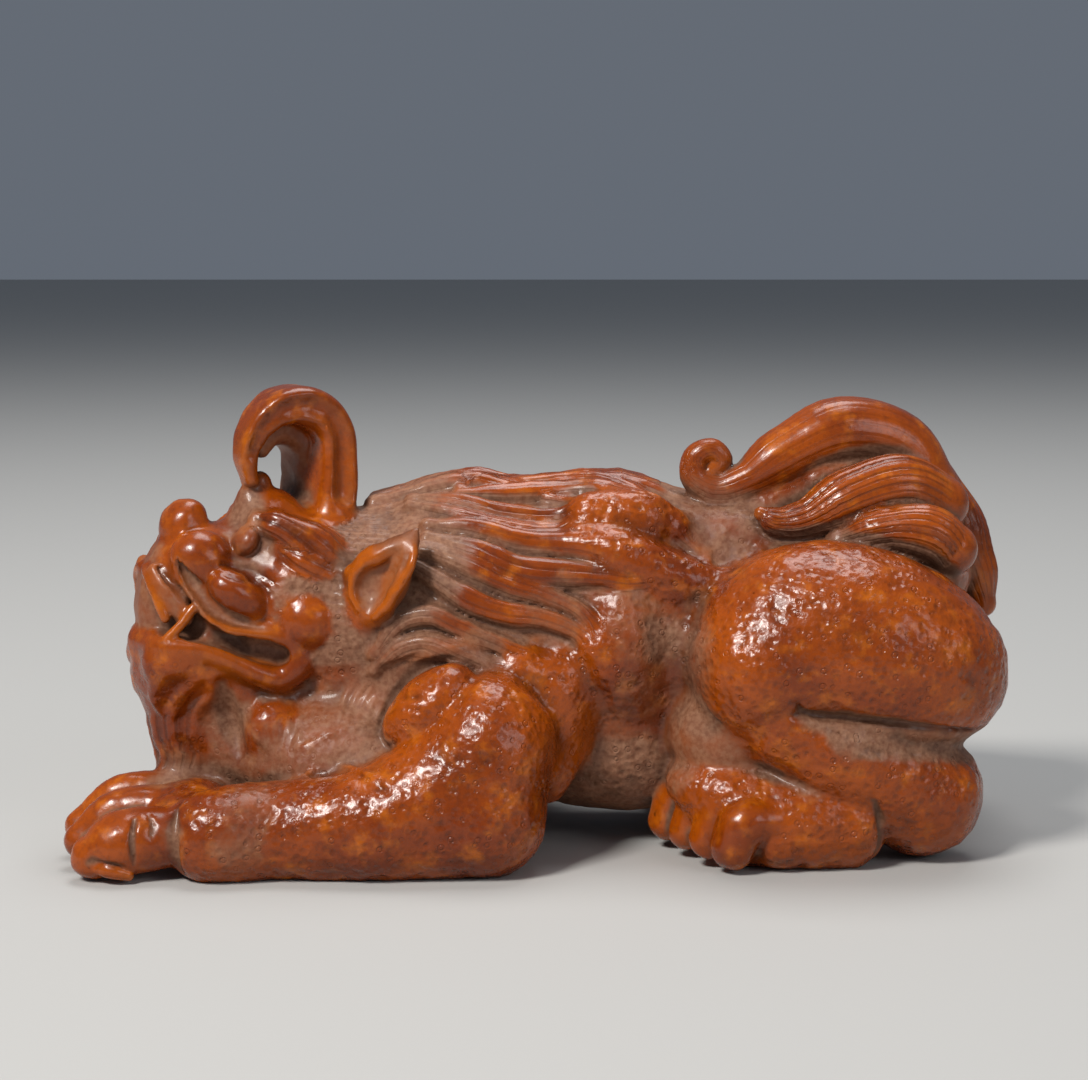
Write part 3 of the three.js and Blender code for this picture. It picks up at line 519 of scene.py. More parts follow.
def carve_head():
    # skull, forehead, snout, jaw, chin
    add("head", head_egg([0, 0, 3.5], [9, 8.4, 8.6]), 3)
    add("head", head_egg([6, 0, 7.4], [4, 4.8, 4.2]), 1.5)
    add("brow", head_limb([[9, 0.8, 9, 1.4], [9.2, 0.8, 10.9, 1]]), 1.2)
    add("head", head_egg([8, 0, 0.3], [6.2, 6.2, 4.8]), 2)
    add("head", head_egg([2, 0, -8], [8.6, 7.6, 4.4]), 2)
    add("head", head_egg([5.6, 0, -4.5], [6.2, 5.8, 4]), 1)
    add("jaw", head_egg([5.8, 0, -10.2], [3.8, 6, 4.6]), 1.5)
    add("jaw", head_egg([6.6, 0, -9.4], [4, 5.2, 3.2]), 1.2)
    # beard under the chin, throat filled back to the chest, lump of fur behind the jaw
    add_lock("beard", Limb([[-38.2, -9.4, 15, 3.5], [-37.8, -9.8, 8.6, 2.7]]), 1.2, 9, 0.3)
    add("throat", Egg([-30.5, -6.5, 12.5], [8.3, 6.6, 10]), 2.5)
    add("jaw", Egg([-27.8, -13.2, 13.2], [3.2, 2.6, 3.4]), 0.8)
    # its upper edge, and the flame-like strands of its lower half
    add("jaw", laid(JOWL_EDGE, -1, 0.5), 0.3)
    lay_tuft(JOWL_FRONT, JOWL_REAR, -1, 0.4)
    for flame in JAW_FLAMES:
        add("jawhair", laid(flame, -1, 0.9, 0.45), 0.3)
    score("valley", JAW_VALLEY, -1, 0.9, 0.9)
    add("nose", head_egg([13.3, 0, 2.7], [2.4, 2.8, 2.9]), 0.8)
    for s in (-1, 1):
        add("nose", head_egg([10.3, 4 * s, 0.5], [3.5, 2.8, 3.2], 4), 0.4)
        add("cheek", head_egg([5.9, 7 * s, -0.3], [3.6, 2.6, 2.2]), 0.4)
        add("cheek", head_egg([-1.4, 8.9 * s, 1.5], [3, 2.3, 2.9]), 0.3)
        add("eye", head_egg([EYE_AT[0], EYE_AT[1] * s, EYE_AT[2]], EYE_RADII), 0.5)
        add("lid", head_limb(LID, s), 0.4)
        add_lock("brow", head_limb(BROW, s), 0.8, 5, 0.3)
        add_lock("brow", head_limb(LOWER_BROW, s), 0.5, 4, 0.26)


# Mouth: lips rolled round it, then a slot with a crisp edge, a tusk each side, and inside
# the front of it a rounded filling with a ridge
MOUTH = [
    [-0.6, 9.2, -3.1, 1.1], [1.0, 9.1, -3.6, 1.3], [2.6, 8.8, -4.2, 1.1], [4.6, 8.1, -4.9, 0.85],
    [6.6, 7.5, -5.3, 1.05], [8.3, 6.7, -5.6, 1.5], [10.2, 5.4, -5.3, 2.1],
    [12, 3.9, -4.9, 2.3], [13.2, 0, -4.9, 2.4],
]
LIP_BED = [
    [11, 4, -1.6, 0.9], [9.2, 5, -2, 1], [7.4, 5.9, -2.9, 1], [5.4, 6.6, -3, 1.1], [3, 7.2, -2, 1.2],
]
UPPER_LIP = [
    [13.6, 1.4, -1.6, 0.26], [12.6, 3.1, -1.9, 0.28], [11.1, 4.6, -2.3, 0.3], [9.7, 5.6, -2.8, 0.32],
    [7.6, 6.5, -3.9, 0.34], [5.5, 7.2, -4, 0.38], [3.3, 7.9, -2.9, 0.44], [1, 8.4, -1.7, 0.5],
    [-1.6, 8.6, -1.6, 0.54], [-3, 8.5, -3, 0.56],
]
LOWER_LIP = [
    [-3, 8.5, -3, 0.56], [-2.4, 8.5, -4.9, 0.54], [0, 8.4, -5.8, 0.5], [2.4, 8, -6.1, 0.46],
    [5.4, 7.2, -6.7, 0.42], [7.4, 6.4, -7.7, 0.4], [9.1, 5.5, -8.8, 0.4],
    [9.6, 4, -9, 0.42], [10, 0, -9.4, 0.42],
]
# Groove between the upper lip and the cheek and nose, and the slit inside the front of the lip
VALLEY = [
    [12.6, 5.2, -0.7, 0.3], [11.7, 5.5, -1.2, 0.6], [10.2, 6, -1.9, 0.75], [8.9, 6.8, -2.5, 0.8],
    [7.2, 7.5, -2.9, 0.8], [5.4, 8.2, -2.6, 0.75], [3.5, 8.9, -2, 0.55], [2, 9.3, -1.5, 0.3],
]
SLIT = [[13.6, 3.5, -2.6, 0.25], [12.4, 4.7, -3, 0.36], [10.8, 5.6, -3.5, 0.36], [9.4, 6, -4, 0.25]]
BAR = [[13.6, 3, -2.9, 0.9], [12.2, 3.9, -3.7, 1.2], [10.4, 4.5, -4.4, 1.25], [8.8, 4.9, -5.2, 0.9]]
CHIN_FILL = [[5.4, 5.8, -8.9, 1.3], [7, 5.5, -9.7, 1.5], [8.2, 4.2, -10.6, 1.6]]
TUSK = [[8.9, 6, -4, 0.55], [9, 6.1, -6, 0.5], [9.3, 5.9, -8, 0.55]]
TONGUE = [[7, 0, -7.4, 2.4], [9.6, 0, -6.2, 2.8], [11.3, 0, -3.4, 2.8], [12.3, 0, -0.8, 2.2]]
RIDGE = [[14.2, 1, -3.2, 0.5], [13.7, 2.9, -3.9, 0.6], [12.2, 4.3, -5.1, 0.6], [10.4, 5, -6.4, 0.5]]


def carve_mouth():
    for s in (-1, 1):
        add("head", head_limb(LIP_BED, s), 0.8)
        add("lip", head_limb(UPPER_LIP, s, LIP_THICK), 0.6)
        add("lip", head_limb(LOWER_LIP, s, LIP_THICK), 1.5)
        add("jaw", head_limb(CHIN_FILL, s), 1.2)
        cut("valley", head_limb(VALLEY, s), 0.3)
    for s in (-1, 1):
        cut("mouth", head_limb(MOUTH, s, wide=0.9, facing=LEFT), 0.15)
    add("tongue", head_limb(TONGUE, wide=0.3, facing=LEFT), 0.4)
    for s in (-1, 1):
        add("tongue", head_limb(BAR, s), 0.4)
        cut("slit", head_limb(SLIT, s), 0.1)
        add("ridge", head_limb(RIDGE, s), 0.4)
        add("tusk", head_limb(TUSK, s), 0.2)


# Horn: a broad band rising from the back of the head and curling forward and down to the brow
HORN_AT = np.array([-26.6, -5.0, 41.6])
HORN_TURN = math.radians(32)
HORN_RING = 4.6
HORN_WIDE = 0.85
# Degrees through which it curls, and how much wider the curl is at its tip
HORN_SWEEP = 220
HORN_OPEN = 3.6


def carve_horn():
    ahead = np.array([-math.cos(HORN_TURN), -math.sin(HORN_TURN), 0])
    facing = np.array([-math.sin(HORN_TURN), math.cos(HORN_TURN), 0])
    thick = HORN_THICK / 2
    tip = HORN_THICK / 6

    def place(across, up, r):
        return [*(HORN_AT + ahead * across + np.array([0, 0, up])), r]

    guide = [place(-HORN_RING * 0.7, -9, thick + 0.5), place(-HORN_RING * 0.93, -4.5, thick + 0.2)]
    for i in range(9):
        angle = math.radians(-8 + HORN_SWEEP * i / 8)
        ring = HORN_RING + HORN_OPEN * max(i / 8 - 0.7, 0)
        r = thick + (tip - thick) * max(i / 8 - 0.4, 0) / 0.6
        guide.append(place(-math.cos(angle) * ring, math.sin(angle) * ring, r))
    guide = np.array(guide)
    add("horn", Limb(guide, wide=HORN_WIDE, facing=facing), 0.8)
    # far rim of the band, curled inward so that it half closes the ring
    rim = guide[:9].copy()
    for p in rim:
        inward = unit(HORN_AT - p[:3]) * 0.34 * HORN_RING
        p[:3] += inward + facing * (HORN_WIDE + 0.75) * p[3] - np.array([0, 0, 1.2])
        p[3] *= 0.8
    add("rim", Limb(rim, wide=0.7, facing=facing), 0.8)
    # hollow down the outer side of the band
    hollow = guide[1:10].copy()
    for p in hollow:
        p[:3] -= facing * (p[3] * (HORN_WIDE + 1) + 0.25)
        p[3] *= 0.6
    cut("channel", Limb(hollow), 0.7)


# Ear: a leaf with a pointed tip, hollow inside a raised rim
EAR = [
    [-18.4, -13, 25, 1.8], [-17.7, -13.9, 27.2, 3], [-16.7, -14.5, 29.2, 3.4],
    [-15.1, -14.7, 31.2, 2.3], [-13.8, -14.6, 32.8, 1.2], [-12.9, -14.4, 34.1, 0.4],
]
EAR_CORNER = [[-19.7, -13.2, 29.6, 0.9], [-17, -14.2, 29.4, 2.4]]
EAR_FACING = np.array([-0.42, -0.9, 0.12])
FAR_EAR_MOVE = np.array([2.6, 1.4, 0.4])
EAR_MIDDLE = np.array([-16.7, -14.5, 29.2])
# x, z and radius of the hollow and of the rolled rim round it
EAR_HOLLOW = [
    (-17.4, 26.4, 1), (-17.2, 28.1, 1.8), (-16.3, 29.7, 1.7), (-15, 31.2, 1.1), (-14.1, 32.4, 0.5),
]
EAR_RIM = [
    (-18.6, 26, 0.3), (-19.3, 27.8, 0.45), (-19.1, 29.3, 0.55), (-18.2, 30.4, 0.65), (-16.7, 31.2, 0.7),
    (-15.4, 32.2, 0.6), (-14.3, 33.3, 0.4), (-13.4, 32.9, 0.3), (-13.1, 31.1, 0.4), (-13.8, 29.4, 0.5),
    (-14.6, 28, 0.55), (-15.5, 26.6, 0.5), (-16.8, 25.3, 0.35),
]
# Heights, and how far the rim stands off the plane of the ear there, as the tip curls back
EAR_RIM_LIFT = ([28, 29.4, 31.2, 32.2, 33.3], [0.8, 0.65, 0.4, -0.05, -0.6])


def on_leaf(x, z, lift):
    """A place in the plane of the left ear, lifted off it."""
    off = EAR_FACING[0] * (x - EAR_MIDDLE[0]) + EAR_FACING[2] * (z - EAR_MIDDLE[2])
    y = EAR_MIDDLE[1] - off / EAR_FACING[1]
    return np.array([x, y, z]) + EAR_FACING * lift


def carve_ear(side):
    def place(p):
        moved = np.array(p[:3]) + (0 if side < 0 else FAR_EAR_MOVE)
        return [*sided(moved, side), *p[3:]]

    facing = np.array(sided(EAR_FACING, side))
    root = [place([-17.5, -11.5, 28, 2.6]), place([-15.5, -11.5, 31, 1.4])]
    add("ear", Limb(root), 1)
    add("ear", Limb([place(p) for p in EAR], flat=0.42, facing=facing), 0.4)
    add("ear", Limb([place(p) for p in EAR_CORNER], flat=0.5, facing=facing), 0.4)
    hollow = [place([*on_leaf(x, z, 1), r]) for x, z, r in EAR_HOLLOW]
    cut("hollow", Limb(hollow, flat=0.8, facing=facing), 0.2)
    rim = [place([*on_leaf(x, z, np.interp(z, *EAR_RIM_LIFT)), r]) for x, z, r in EAR_RIM]
    add("earrim", Limb(rim), 0.25)


# Tail: locks swept up and forward from the rump, tips curled, radii in shares of TAIL_THICK
TAIL_TOP = [
    [41.2, 0.5, 36.6, 0.46], [38, 0.3, 41.4, 0.49], [31.6, -1, 43, 0.51], [25.5, -2.2, 40.6, 0.42],
    [21.2, -3, 37.9, 0.28], [18.2, -3, 37, 0.24], [16, -3, 38.3, 0.21], [16, -3, 40.4, 0.19],
    [17.7, -3, 41.3, 0.17], [18.9, -3, 40.2, 0.15], [18, -3, 39.3, 0.13],
]
TAIL_SIDE = [
    [41.8, -3.4, 35.6, 0.43], [37.4, -5.4, 37.6, 0.47], [32, -6.6, 36.6, 0.42], [27, -7.2, 34.4, 0.27],
    [24.2, -7.4, 34.2, 0.2], [22.6, -7.4, 35, 0.1],
]
TAIL_LOW = [[30.6, -8, 32.4, 0.15], [35, -8.8, 33.6, 0.31], [40, -8.6, 33, 0.42], [42.4, -8, 31.4, 0.38]]
TAIL_FILLING = [[37, 0, 37.6, 3.6], [31, -1.2, 37.9, 3.4], [25.5, -2.2, 36.2, 2.6], [21, -3, 34.9, 1.6]]
TAIL_REAR = [[41.6, 1.5, 37, 0.41], [44.6, 1.5, 33, 0.4], [46.4, 1, 28.6, 0.34], [47.4, 0.6, 24.4, 0.2]]


def tail_lock(guide, side, strands, depth):
    shape = side_limb([[x, y, z, share * TAIL_THICK] for x, y, z, share in guide], side)
    add_lock("tail", shape, 0.5, strands, depth)


def carve_tail():
    add("rump", Egg([35, 0, 31], [9.5, 8, 7], 8), 3)
    add("rump", Egg([42, -1, 28.6], [3.6, 8, 4.6]), 1.5)
    add("rump", Egg([20, 0, 32.2], [9, 7.4, 4.3]), 2)
    add("rump", Limb(TAIL_FILLING), 1.5)
    tail_lock(TAIL_TOP, -1, 11, 0.1)
    for side in (-1, 1):
        tail_lock(TAIL_SIDE, side, 13, 0.3)
        tail_lock(TAIL_LOW, side, 12, 0.28)
    tail_lock(TAIL_REAR, -1, 10, 0.2)


def carve_figure():
    carve_trunk()
    carve_mane()
    carve_hind_leg(-1)
    carve_hind_leg(1)
    carve_foreleg(-1, 0)
    carve_foreleg(1, 8)
    carve_head()
    carve_mouth()
    carve_horn()
    carve_ear(-1)
    carve_ear(1)
    carve_tail()


# Sampling: signed distance on a regular grid, from just under the ground to above the horn
GRID_LOW = [-51.5, -28, -0.9]
GRID_HIGH = [50.8, 28, 49.8]
# Samples worked on together along a shape
SLAB = 10
# How far off a point, in millimetres, the way out of the wood is felt
SLOPE_STEP = 0.35
# The eight corners of a cell of the grid, and its three ways
CORNERS = np.array([[n & 1, n >> 1 & 1, n >> 2] for n in range(8)])
WAYS = np.eye(3, dtype=int)


class Block:
    def __init__(self, low, high):
        self.low = np.array(low, float)
        self.shape = np.ceil((np.array(high) - self.low) / CELL).astype(int) + 1
        self.values = np.full(self.shape, 6.0, np.float32)

    def span(self, shape, reach):
        """First and last samples within reach of a shape."""
        start = np.maximum(np.floor((shape.low - reach - self.low) / CELL).astype(int), 0)
        end = np.minimum(np.ceil((shape.high + reach - self.low) / CELL).astype(int) + 1, self.shape)
        return start, end

    def work(self, shape, soft, cutting):
        """Joins or cuts a shape, slab by slab along its longest way."""
        reach = soft + 2
        start, end = self.span(shape, reach)
        axis = int(np.argmax(end - start))
        for first in range(start[axis], end[axis], SLAB):
            low, high = start.copy(), end.copy()
            low[axis] = first
            high[axis] = min(first + SLAB, end[axis])
            part = shape.near(self.low + CELL * low, self.low + CELL * high, reach)
            if part is None:
                continue
            part_low, part_high = self.span(part, reach)
            low, high = np.maximum(low, part_low), np.minimum(high, part_high)
            if (high > low).all():
                self.work_slab(part, soft, cutting, low, high)

    def work_slab(self, shape, soft, cutting, low, high):
        lines = [self.low[i] + CELL * np.arange(low[i], high[i]) for i in range(3)]
        points = np.stack(np.meshgrid(*lines, indexing="ij"), -1).reshape(-1, 3)
        part = tuple(slice(a, b) for a, b in zip(low, high))
        d = shape.distance(points).reshape(self.values[part].shape)
        self.values[part] = blend(self.values[part], d, soft, cutting)

    def stand(self):
        """Level soles: nothing below the ground."""
        heights = self.low[2] + CELL * np.arange(self.shape[2])
        self.values = np.maximum(self.values, -heights.astype(np.float32))

    def at(self, points):
        """Distance at any points, mixed between the samples round each."""
        place = np.clip((points - self.low) / CELL, 0, self.shape - 1.001)
        first = place.astype(int)
        t = place - first
        total = np.zeros(len(points))
        for step in CORNERS:
            share = np.prod(np.where(step, t, 1 - t), axis=1)
            total += share * self.values[tuple((first + step).T)]
        return total

    def slope(self, points):
        """Unit way out of the wood."""
        ways = WAYS * SLOPE_STEP
        return unit(np.stack([self.at(points + way) - self.at(points - way) for way in ways], 1))


def skin_of(block):
    """Points and four-cornered faces between the samples inside the wood and those outside."""
    inside = block.values < 0
    n = block.shape - 1
    count = np.zeros(n, np.int8)
    for i, j, k in CORNERS:
        count += inside[i:i + n[0], j:j + n[1], k:k + n[2]]
    mixed = (count > 0) & (count < 8)
    number = np.full(n, -1, np.int64)
    cells = np.argwhere(mixed)
    number[mixed] = np.arange(len(cells))
    place = np.zeros((len(cells), 3))
    hits = np.zeros(len(cells))
    for axis in range(3):
        for corner in CORNERS[CORNERS[:, axis] == 0]:
            a = block.values[tuple((cells + corner).T)]
            b = block.values[tuple((cells + corner + WAYS[axis]).T)]
            crossing = (a < 0) != (b < 0)
            t = np.where(crossing, a / np.where(crossing, a - b, 1), 0)
            place += crossing[:, None] * (corner + t[:, None] * WAYS[axis])
            hits += crossing
    points = block.low + (cells + place / hits[:, None]) * CELL
    faces = []
    for axis in range(3):
        u, v = [(1, 2), (2, 0), (0, 1)][axis]
        a = np.moveaxis(inside, axis, 0)
        changed = np.moveaxis(a[:-1] != a[1:], 0, axis)
        spots = np.argwhere(changed)
        spots = spots[(spots[:, u] > 0) & (spots[:, v] > 0)]
        spots = spots[(spots[:, u] < n[u]) & (spots[:, v] < n[v])]
        ring = [
            number[tuple((spots - du * WAYS[u] - dv * WAYS[v]).T)]
            for du, dv in ((1, 1), (0, 1), (0, 0), (1, 0))
        ]
        ring = np.stack(ring, 1)
        outward = inside[tuple(spots.T)]
        faces.append(np.where(outward[:, None], ring, ring[:, ::-1]))
    return points, np.vstack(faces)


def settle(block, points):
    """Points moved onto the true skin."""
    for _ in range(2):
        points = points - block.slope(points) * np.clip(block.at(points), -CELL, CELL)[:, None]
    points[:, 2] = np.maximum(points[:, 2], 0)
    return points


# Which form makes the skin at each point; slabs of points are worked on together, in millimetres,
# and OWNER_REACH is how far a form may be from the skin that it makes
OWNER_SLAB = 3
OWNER_REACH = 1.5


def owners(points):
    """Number of the form that makes the skin at each point."""
    value = np.full(len(points), 9.0)
    owner = np.full(len(points), -1)
    slabs = np.floor(points[:, 0] / OWNER_SLAB)
    for slab in np.unique(slabs):
        own_slab(points, np.flatnonzero(slabs == slab), value, owner)
    return owner


def own_slab(points, index, value, owner):
    here = points[index]
    low, high = here.min(0), here.max(0)
    for number, (part, whole, soft, cutting) in enumerate(forms):
        shape = whole.near(low, high, OWNER_REACH)
        if shape is None:
            continue
        near = index[within(here, shape.low, shape.high, OWNER_REACH)]
        d = shape.distance(points[near]) * (-1 if cutting else 1)
        taken = d > value[near] if cutting else d < value[near]
        value[near[taken]] = d[taken]
        owner[near[taken]] = number


def belongs(owner, *parts):
    return np.isin(owner, [number for number, form in enumerate(forms) if form[0] in parts])


# Combed hair: strands run along each lock and come together at its tip
HAIR_REACH = 0.7
HAIR_FULL = 0.28
# Place on the middle line of the body, away from which a lock has its outer side
BODY_MIDDLE = [0, 0, 18]


def round_lock(shape, along, off):
    """Share of the way round a lock at which points lie, reckoned from its outer side."""
    spot = (along * (len(shape.run) - 1)).round().astype(int)
    way = unit(np.gradient(shape.run, axis=0)[spot])
    out = (shape.run[spot] - BODY_MIDDLE) * [0, 1, 1]
    out -= (out * way).sum(1)[:, None] * way
    side = np.cross(way, out)
    return np.arctan2((off * side).sum(1), (off * out).sum(1)) / (2 * math.pi)


def comb(points):
    """Depth of the strand grooves, the running count of strands, and how much hair is there."""
    best = np.full(len(points), HAIR_REACH)
    depth, turns, hair = np.zeros((3, len(points)))
    for k, (shape, strands, deep) in enumerate(combed):
        near = within(points, shape.low, shape.high, HAIR_REACH)
        d, along, off = shape.measure(points[near])
        nearer = d < best[near]
        here, d, along, off = near[nearer], d[nearer], along[nearer], off[nearer]
        sway = 0.018 * np.sin(along * 7 + k)
        fade = ramp(along, 0, 0.12) * (1 - ramp(along, 0.9, 1)) * (1 - ramp(d, 0.3, HAIR_REACH))
        best[here] = d
        depth[here] = deep * fade
        turns[here] = strands * (round_lock(shape, along, off) + sway) + 0.37 * k
        hair[here] = fade * min(deep / HAIR_FULL, 1)
    return depth, turns, hair


def groove(turns, width):
    """1 in the bottom of each narrow groove, 0 on the rounded strand between."""
    return 1 - np.abs(np.sin(math.pi * turns)) ** width


# Lines of the face, in front and up of the head: two under the eye, one on the nose, one by the lip
FACE_LINES = [
    [(9.2, 1.4), (7.5, 2.0), (6.3, 2.7), (4.5, 2.8), (2.6, 2.6)],
    [(8.6, 0.7), (7.0, 1.3), (5.8, 1.9), (4.2, 2.0), (2.8, 1.7)],
    [(10.4, 2.6), (9.6, 2.2), (8.4, 2.4), (7.4, 3.1)],
    [(12.6, -1.2), (11.2, -1.6), (9.2, -2.2), (7.2, -2.9), (5.4, -3.1)],
]
LINE_DEPTH = 0.22
LINE_WIDTH = 0.26


def line_distance(flat, guide):
    best = np.full(len(flat), 9.0)
    for a, b in zip(np.array(guide[:-1]), np.array(guide[1:])):
        ab = b - a
        t = np.clip((flat - a) @ ab / (ab @ ab), 0, 1)
        best = np.minimum(best, np.linalg.norm(flat - a - t[:, None] * ab, axis=1))
    return best


def engrave_face(points, owner):
    """Depth of the lines cut in the face, on both sides of it."""
    local = (points - HEAD_AT) @ HEAD_AXES.T
    face = belongs(owner, "head", "lid", "nose", "cheek", "brow")
    face &= (np.abs(local[:, 1]) > 2.5) & (local[:, 0] > -3)
    push = np.zeros(len(points))
    for guide in FACE_LINES:
        near = line_distance(local[:, ::2], guide) / LINE_WIDTH
        push = np.maximum(push, LINE_DEPTH * np.exp(-near ** 2))
    return push * face


# Detail pressed into the skin: knife marks, fine hair and the dents of the coat
COAT = ("thigh", "shank", "trunk", "boss", "arm", "shoulder", "foot", "paw")
CALM = ("eye", "lip", "horn", "tusk", "tail")
# Knife marks: depth, depth on the calm parts, and wave length in millimetres
KNIFE = [(0.07, 0.02, 5), (0.035, 0, 1.8)]
# Mean radius of the neck, and how far apart and how deep the lines of its hair are
NECK_RADIUS = 15.5
NECK_LINES = 0.85
NECK_DEPTH = 0.17
# Dents: their number, the least and most of their length, width and depth, and the way the coat
# lies, which is back along the body and down its sides
DENTS = 3800
DENT_SIZES = [(0.45, 0.8), (0.28, 0.42), (0.05, 0.13)]
FLOW = unit([1, 0, -0.6])


def normals_of(points, faces):
    """Unit normals of a net of four-cornered faces."""
    a, b, c, d = (points[faces[:, i]] for i in range(4))
    total = np.zeros_like(points)
    for i in range(4):
        np.add.at(total, faces[:, i], np.cross(c - a, d - b))
    return unit(total)


def knife_marks(points, owner):
    calm = belongs(owner, *CALM)
    return sum(
        np.where(calm, slight, deep) * waves(points, length, seed)
        for seed, (deep, slight, length) in enumerate(KNIFE, 1)
    )


def neck_hair(points, owner):
    """Depth of the lines of fine hair on the neck and the upper back, and where they show."""
    x, y, z = points.T
    neck = belongs(owner, "trunk", "boss", "head")
    angle = np.arctan2(z - TRUNK_MIDDLE, 1.2 * np.abs(y))
    arc = angle * NECK_RADIUS + 0.35 * np.sin(x * 0.35) + 0.02 * (x + 10)
    top = neck * ramp(angle, -0.15, 0.25) * ramp(x, -27, -23) * (1 - ramp(x, 3, 8))
    return NECK_DEPTH * top * groove(arc / NECK_LINES, 0.7), top > 0.3


def dents(points, normals, coat):
    """Depth of small oval dents at chance places of the coat, long the way it lies."""
    draw = np.random.default_rng(7)
    spots = draw.choice(np.flatnonzero(coat), DENTS, replace=False)
    sizes = [draw.uniform(least, most, DENTS) for least, most in DENT_SIZES]
    tree = kdtree.KDTree(len(points))
    for i, p in enumerate(points):
        tree.insert(p, i)
    tree.balance()
    n = normals[spots]
    ways = unit(FLOW - (n @ FLOW)[:, None] * n)
    push = np.zeros(len(points))
    for centre, way, size, wide, deep in zip(points[spots], ways, *sizes):
        index = [found[1] for found in tree.find_range(centre, 2 * size)]
        off = points[index] - centre
        along = off @ way
        across = np.maximum((off * off).sum(1) - along * along, 0)
        push[index] += deep * np.exp(-(along / size) ** 2 - across / wide ** 2)
    return push


def carve_detail(points, faces):
    """Strands, fine lines, dents and the slight unevenness of the knife, pressed into the skin."""
    normals = normals_of(points, faces)
    owner = owners(points)
    depth, turns, hair = comb(points)
    neck, on_neck = neck_hair(points, owner)
    # every third groove between strands is the deepest
    push = depth * groove(turns, 0.8) * (0.75 + 0.25 * np.cos(2 * math.pi * turns / 3))
    push += engrave_face(points, owner) + knife_marks(points, owner) + neck
    points = points - normals * push[:, None]
    coat = belongs(owner, *COAT, "rump") & (hair < 0.1) & ~on_neck & (points[:, 2] > 0.6)
    points = points - normals * dents(points, normals, coat)[:, None]
    points[:, 2] = np.maximum(points[:, 2], 0)
    return points


# The figure's mesh


def thin_out(piece):
    """Fewer faces where the skin is plain, so that the whole stays under the limit."""
    fewer = piece.modifiers.new("fewer", "DECIMATE")
    fewer.ratio = FACE_LIMIT / (2 * len(piece.data.polygons))
    graph = bpy.context.evaluated_depsgraph_get()
    full = piece.data
    piece.data = bpy.data.meshes.new_from_object(piece.evaluated_get(graph))
    piece.modifiers.clear()
    bpy.data.meshes.remove(full)


# Places where dust has settled in the carving: centre, radius and how thick
DUSTY = [
    [(30, -21.5, 14.4), 2.4, 0.75], [(34.5, -20.5, 13.6), 2.2, 0.6], [(34, -19, 6), 1.6, 0.6],
    [(-31, -10.5, 33.5), 2.8, 0.85], [(-38.2, -15, 9), 4.2, 0.8], [(-36.5, -24.6, 5), 2, 0.7],
    [(27, -18, 8.4), 3.4, 0.7], [(-30, -11.7, 31.5), 3.2, 0.85], [(-34, -12, 27), 1.5, 0.6],
    [(-32.4, -13.6, 14.8), 3.4, 0.8], [(-12, -13, 31), 6.5, 0.85], [(-15, -8, 36), 5.5, 0.9],
    [(-8.7, -8, 34.5), 4, 0.5], [(-14.7, -14, 23), 4.2, 0.8], [(-17.5, -15, 18), 4, 0.75],
    [(-31.4, -9, 36), 3.2, 0.9], [(12.8, -15, 23), 4.2, 0.85], [(14.8, -16, 15), 5, 0.9],
    [(12.3, -16, 9.8), 4, 0.8], [(8.3, -14, 16), 4.5, 0.5], [(-29.4, -24.5, 8.2), 4.4, 0.7],
    [(-30, -25.8, 4), 4, 0.62], [(-27, -18, 9), 6, 0.6], [(-20, -16, 13), 5, 0.8],
    [(1.6, -14, 26.6), 4.5, 0.7], [(-6.5, -14.5, 22.6), 3, 0.75], [(30.8, -8, 31), 4, 0.7],
    [(45.2, -4, 29.6), 3.6, 0.75], [(40.6, -8, 25.5), 4.5, 0.7], [(5.9, -10, 6), 7, 0.5],
    [(20.6, -5, 34), 4, 0.85], [(18.4, -6, 32), 5, 0.75], [(-34.7, -14, 14.6), 3, 0.6],
    [(17, -3, 34.5), 6, 0.7],
]


def settled(points):
    total = np.zeros(len(points))
    for centre, radius, strength in DUSTY:
        for side in (-1, 1):
            away = np.linalg.norm(points - sided(centre, side), axis=1) / radius
            total = np.maximum(total, strength * (1 - ramp(away, 0.5, 1.25)))
    return total


def under_haunch(points):
    """1 in the strip under the line of the haunch, which is wider behind its step."""
    x, z = points[:, 0], points[:, 2]
    below = np.interp(x, *zip(*HAUNCH_LINE)) - z
    width = 1.8 + 2.2 * ramp(x, 28, 29.2)
    return ramp(x, 24.8, 26) * ramp(below, -0.6, 0.2) * (1 - ramp(below - width, -0.4, 0.4))


def clearance(block, points, normals, reach):
    """Share of a reach outward that is open air, or of one inward, below 0, that is wood."""
    return block.at(points + normals * reach) / abs(reach)


def hollowness(*where):
    """How shut in each point is, from 0 in the open to 1 deep in a recess."""
    reaches = ((0.7, 0.25), (1.5, 0.3), (3, 0.3), (5, 0.15))
    return np.clip(sum(weight * (1 - clearance(*where, reach)) for reach, weight in reaches), 0, 1)


def crevices(*where):
    """1 in the bottom of narrow grooves, 0 elsewhere."""
    return ramp(1 - clearance(*where, 0.5), 0.12, 0.6)


def worn_and_lit_edges(*where):
    """1 on thin ridges and raised edges, 0 on broad forms and in hollows."""
    return ramp(1 + 0.5 * clearance(*where, -0.8) + 0.5 * clearance(*where, -2), 0.28, 0.7)


def soften(mesh, values, rounds):
    """Evens a value out over neighbouring points."""
    ends = np.empty(2 * len(mesh.edges), int)
    mesh.edges.foreach_get("vertices", ends)
    a, b = ends[::2], ends[1::2]
    count = np.bincount(ends, minlength=len(values))
    for _ in range(rounds):
        total = np.bincount(a, values[b], len(values)) + np.bincount(b, values[a], len(values))
        values = 0.4 * values + 0.6 * total / np.maximum(count, 1)
    return values


# Dust that lies all over a part
DUST_ON = [
    (0.85, ["mouth", "crease", "valley", "crack"]),
    (0.65, ["hollow", "tuft"]),
    (0.6, ["throat", "web", "tongue", "rim"]),
    (0.35, ["channel", "rump"]),
]


